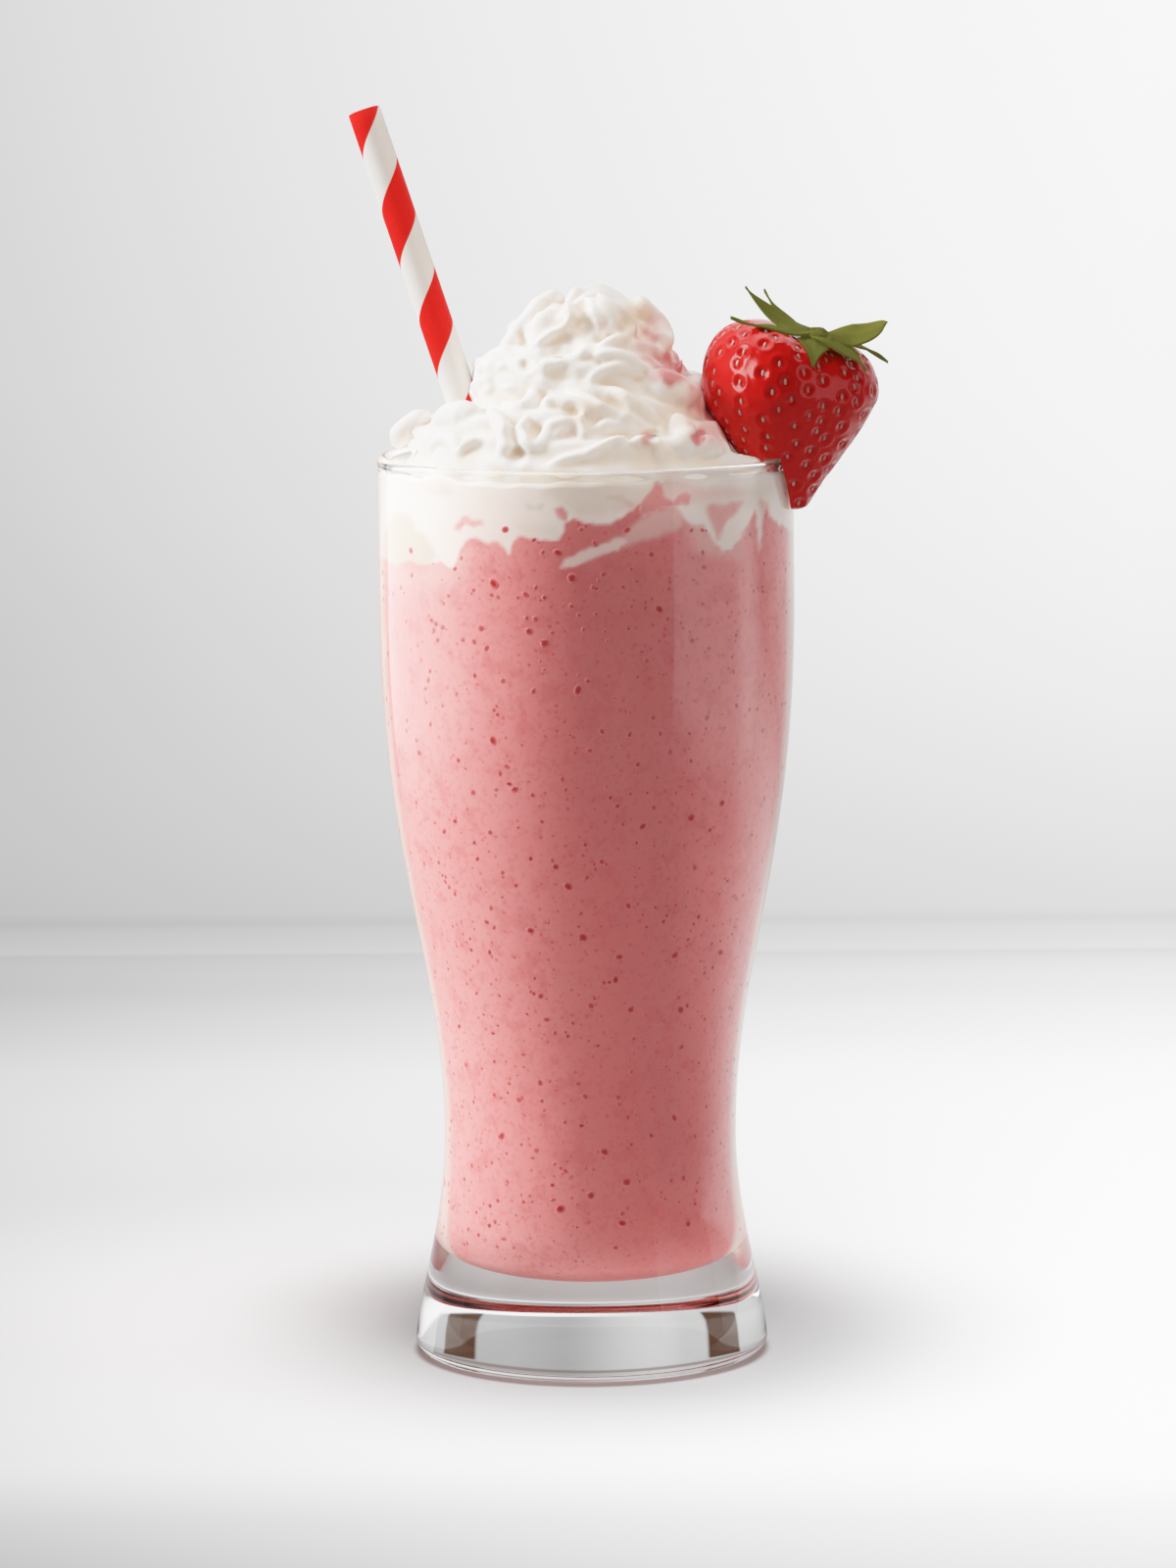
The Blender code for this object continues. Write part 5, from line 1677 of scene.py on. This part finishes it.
class MILKSHAKE_OT_stage(bpy.types.Operator):
    """Lays the pale backdrop, and sets the lights and the camera"""

    bl_idname = "milkshake.stage"
    bl_label = "Stage"

    def execute(self, context):
        stage = context.scene.milkshake_stage
        backdrop = self.add_backdrop(stage.shadow)
        pieces = bpy.data.objects
        for_backdrop = self.light_group("backdrop_light", "INCLUDE", backdrop)
        for_drink = self.light_group("drink_light", "EXCLUDE", backdrop)
        for_glass = self.light_group("glass_light", "INCLUDE", pieces["glass_body"])
        for_cream = self.light_group("cream_light", "INCLUDE", pieces["whipped_cream_heap"], pieces["paper_straw"])
        for_berry = self.light_group("berry_light", "INCLUDE", pieces["strawberry_body"], pieces["strawberry_calyx"])
        middle, high = (0.0, 0.0, 0.14), (0.0, 0.0, 0.2)
        left_panel, right_panel = (-0.30, 0.06, 0.31), (0.25, -0.085, 0.228)
        left_glint, right_glint = self.glint(31.4, 18.0), self.glint(51.7, 13.0)
        # name, place, target, size, brightness, what it lights, seen by: d diffuse, g glossy
        lights = (
            ("key", (-0.92, 0.06, 0.55), middle, (0.4, 0.4), stage.key, for_drink, "d"),
            ("fill", (0.58, 0.18, 0.22), middle, (0.5, 0.5), stage.fill, for_drink, "d"),
            ("cream_fill", (0.35, -0.62, 0.62), high, (0.5, 0.5), stage.cream_fill, for_cream, "d"),
            ("above", (-0.15, 0.10, 0.85), high, (0.6, 0.6), stage.above, for_drink, "dg"),
            ("left_panel", left_panel, (0.0, *left_panel[1:]), (0.60, 0.60), stage.left_panel, for_glass, "g"),
            ("right_panel", right_panel, (0.0, *right_panel[1:]), (0.315, 0.40), stage.right_panel, for_glass, "g"),
            ("berry_fill", (0.62, -0.55, 0.30), (0.04, 0.0, 0.2), (0.5, 0.5), stage.berry_fill, for_berry, "d"),
            ("left_glint", *left_glint, (0.14, 0.16), stage.left_glint, for_berry, "g"),
            ("right_glint", *right_glint, (0.16, 0.18), stage.right_glint, for_berry, "g"),
            ("sweep", (0.3, -1.0, 1.8), (0.0, 0.4, 0.1), (2.0, 2.0), stage.sweep, for_backdrop, "d"),
        )
        for light in lights:
            self.add_light(*light)
        bpy.data.lights["cream_fill"].color = stage.cream_warmth
        # The cream doesn't shade the reflections of the two small lamps on the strawberry.
        for name in ("left_glint", "right_glint"):
            pieces[name].light_linking.blocker_collection = for_berry
        self.soften(bpy.data.lights["left_panel"], 0.05, 0.38, 0.14)
        self.soften(bpy.data.lights["right_panel"], 0.01, 0.22, 0.16)
        self.add_world(context, stage.room)
        self.add_camera(context, stage)
        self.set_tone(context.scene.view_settings)
        return {"FINISHED"}

    @staticmethod
    def set_tone(view):
        """Standard view with a soft shoulder: straight to the knee, then ever flatter towards white."""
        knee, white = 0.15, 4.0
        view.view_transform = "Standard"
        view.use_curve_mapping = True
        curves = view.curve_mapping
        curves.white_level = (white, white, white)
        tone = curves.curves[3]
        inputs = (0.0, 0.075, 0.15, 0.25, 0.4, 0.6, 0.85, 1.15, 1.5, 2.0, 2.6, 3.3, 4.0)
        while len(tone.points) < len(inputs):
            tone.points.new(0.5, 0.5)
        for point, bright in zip(tone.points, inputs):
            shown = bright
            if bright > knee:
                shown = knee + (1 - knee) * (1 - math.exp((knee - bright) / (1 - knee)))
            point.location = (bright / white, shown)
        curves.update()

    @staticmethod
    def add_backdrop(shadow):
        """A floor that curves up into a wall."""
        bend_from = BACKDROP_DEPTH - BACKDROP_BEND
        outline = [(-BACKDROP_REACH, BACKDROP_LOW), (bend_from, BACKDROP_LOW)]
        outline += arc((bend_from, BACKDROP_LOW + BACKDROP_BEND), (BACKDROP_BEND,) * 2, -90, 0, 16)[1:]
        outline.append((BACKDROP_DEPTH, BACKDROP_REACH))
        bm = bmesh.new()
        verts = [bm.verts.new((-BACKDROP_REACH, y, z)) for y, z in outline]
        edges = [bm.edges.new(pair) for pair in zip(verts, verts[1:])]
        made = bmesh.ops.extrude_edge_only(bm, edges=edges)
        moved = [item for item in made["geom"] if isinstance(item, bmesh.types.BMVert)]
        bmesh.ops.translate(bm, verts=moved, vec=(2 * BACKDROP_REACH, 0.0, 0.0))
        bmesh.ops.recalc_face_normals(bm, faces=bm.faces)
        # The sheet faces the drink.
        if min(face.normal.z for face in bm.faces) < -0.5:
            bmesh.ops.reverse_faces(bm, faces=bm.faces)
        mesh = as_mesh("backdrop", bm, [backdrop_finish(shadow)])
        mesh.shade_smooth()
        backdrop = in_scene("backdrop", mesh)
        return backdrop

    @staticmethod
    def light_group(name, state, *members):
        """A collection of the pieces that a light falls on, or of those that it spares."""
        group = bpy.data.collections.new(name)
        for i, member in enumerate(members):
            group.objects.link(member)
            group.collection_objects[i].light_linking.link_state = state
        return group

    @staticmethod
    def add_light(name, place, target, size, brightness, lit, seen_by):
        data = bpy.data.lights.new(name, "AREA")
        data.shape = "RECTANGLE"
        data.size, data.size_y = size
        data.energy = math.pi * size[0] * size[1] * brightness
        light = in_scene(name, data)
        light.location = place
        aim = Vector(target) - Vector(place)
        light.rotation_euler = aim.to_track_quat("-Z", "Y").to_euler()
        light.light_linking.receiver_collection = lit
        light.visible_camera = False
        light.visible_diffuse = "d" in seen_by
        light.visible_transmission = "d" in seen_by
        light.visible_glossy = "g" in seen_by

    @staticmethod
    def soften(light, near, far, low):
        """Lets a panel's light fade in towards its sides and its lower end; each width is a share of its size."""
        nodes = Nodes(light.name, light)
        spot = nodes.node("ShaderNodeNewGeometry").outputs["Parametric"]
        across, up, _ = nodes.axes(spot)
        glow = across.step(0.0, near) * (1 - across.step(1 - far, 1.0)) * up.step(0.0, low)
        lamp = nodes.node("ShaderNodeEmission", None, {"Strength": glow})
        nodes.node("ShaderNodeOutputLight", None, {0: lamp.outputs[0]})

    @staticmethod
    def glint(right, up):
        """Place and target of a light whose reflection the camera sees on the strawberry."""
        origin, direction = from_front(right, up)
        hit, normal, _, _ = BVHTree.FromBMesh(plain_berry(60, 80)).ray_cast(origin, direction)
        away = direction - 2 * direction.dot(normal) * normal
        return hit + away * 0.25, hit

    @staticmethod
    def add_world(context, brightness):
        world = bpy.data.worlds.new("soft_room")
        world.use_nodes = True
        world.node_tree.nodes["Background"].inputs[0].default_value = (1.0, 1.0, 1.0, 1.0)
        world.node_tree.nodes["Background"].inputs[1].default_value = brightness
        world.cycles_visibility.glossy = False
        context.scene.world = world

    @staticmethod
    def add_camera(context, stage):
        data = bpy.data.cameras.new("camera")
        data.sensor_fit = "VERTICAL"
        data.sensor_height = 36.0
        data.lens = stage.lens
        data.clip_start = 0.05
        data.clip_end = 30.0
        camera = in_scene("camera", data)
        camera.location = stage.camera_place
        pitch = Matrix.Rotation(math.pi / 2 - stage.camera_pitch, 4, "X")
        roll = Matrix.Rotation(stage.camera_roll, 4, "Z")
        camera.rotation_euler = (pitch @ roll).to_euler()
        context.scene.camera = camera


# ---------------------------------------------------------------- add-on


SETTINGS = {
    "milkshake_glass": GlassSettings,
    "milkshake_shake": ShakeSettings,
    "milkshake_cream": CreamSettings,
    "milkshake_straw": StrawSettings,
    "milkshake_berry": BerrySettings,
    "milkshake_stage": StageSettings,
}
OPERATORS = (
    MILKSHAKE_OT_glass,
    MILKSHAKE_OT_shake,
    MILKSHAKE_OT_cream,
    MILKSHAKE_OT_straw,
    MILKSHAKE_OT_berry,
    MILKSHAKE_OT_leaves,
    MILKSHAKE_OT_stage,
)


class MILKSHAKE_PT_panel(bpy.types.Panel):
    """Lists the milkshake's sizes, colours and steps"""

    bl_idname = "MILKSHAKE_PT_panel"
    bl_label = "Milkshake"
    bl_space_type = "VIEW_3D"
    bl_region_type = "UI"
    bl_category = "Milkshake"

    def draw(self, context):
        for operator in OPERATORS:
            self.layout.operator(operator.bl_idname)
        for name, group in SETTINGS.items():
            box = self.layout.box()
            box.label(text=group.__name__)
            for key in group.__annotations__:
                box.prop(getattr(context.scene, name), key)


def register():
    for group in SETTINGS.values():
        bpy.utils.register_class(group)
    for name, group in SETTINGS.items():
        setattr(bpy.types.Scene, name, bpy.props.PointerProperty(type=group))
    for cls in (*OPERATORS, MILKSHAKE_PT_panel):
        bpy.utils.register_class(cls)


def unregister():
    for cls in reversed((*OPERATORS, MILKSHAKE_PT_panel)):
        bpy.utils.unregister_class(cls)
    for name in SETTINGS:
        delattr(bpy.types.Scene, name)
    for group in reversed(SETTINGS.values()):
        bpy.utils.unregister_class(group)


def main():
    register()
    bpy.ops.milkshake.glass()
    bpy.ops.milkshake.shake()
    bpy.ops.milkshake.cream()
    bpy.ops.milkshake.straw()
    bpy.ops.milkshake.berry()
    bpy.ops.milkshake.leaves()
    bpy.ops.milkshake.stage()


if __name__ == "__main__":
    main()
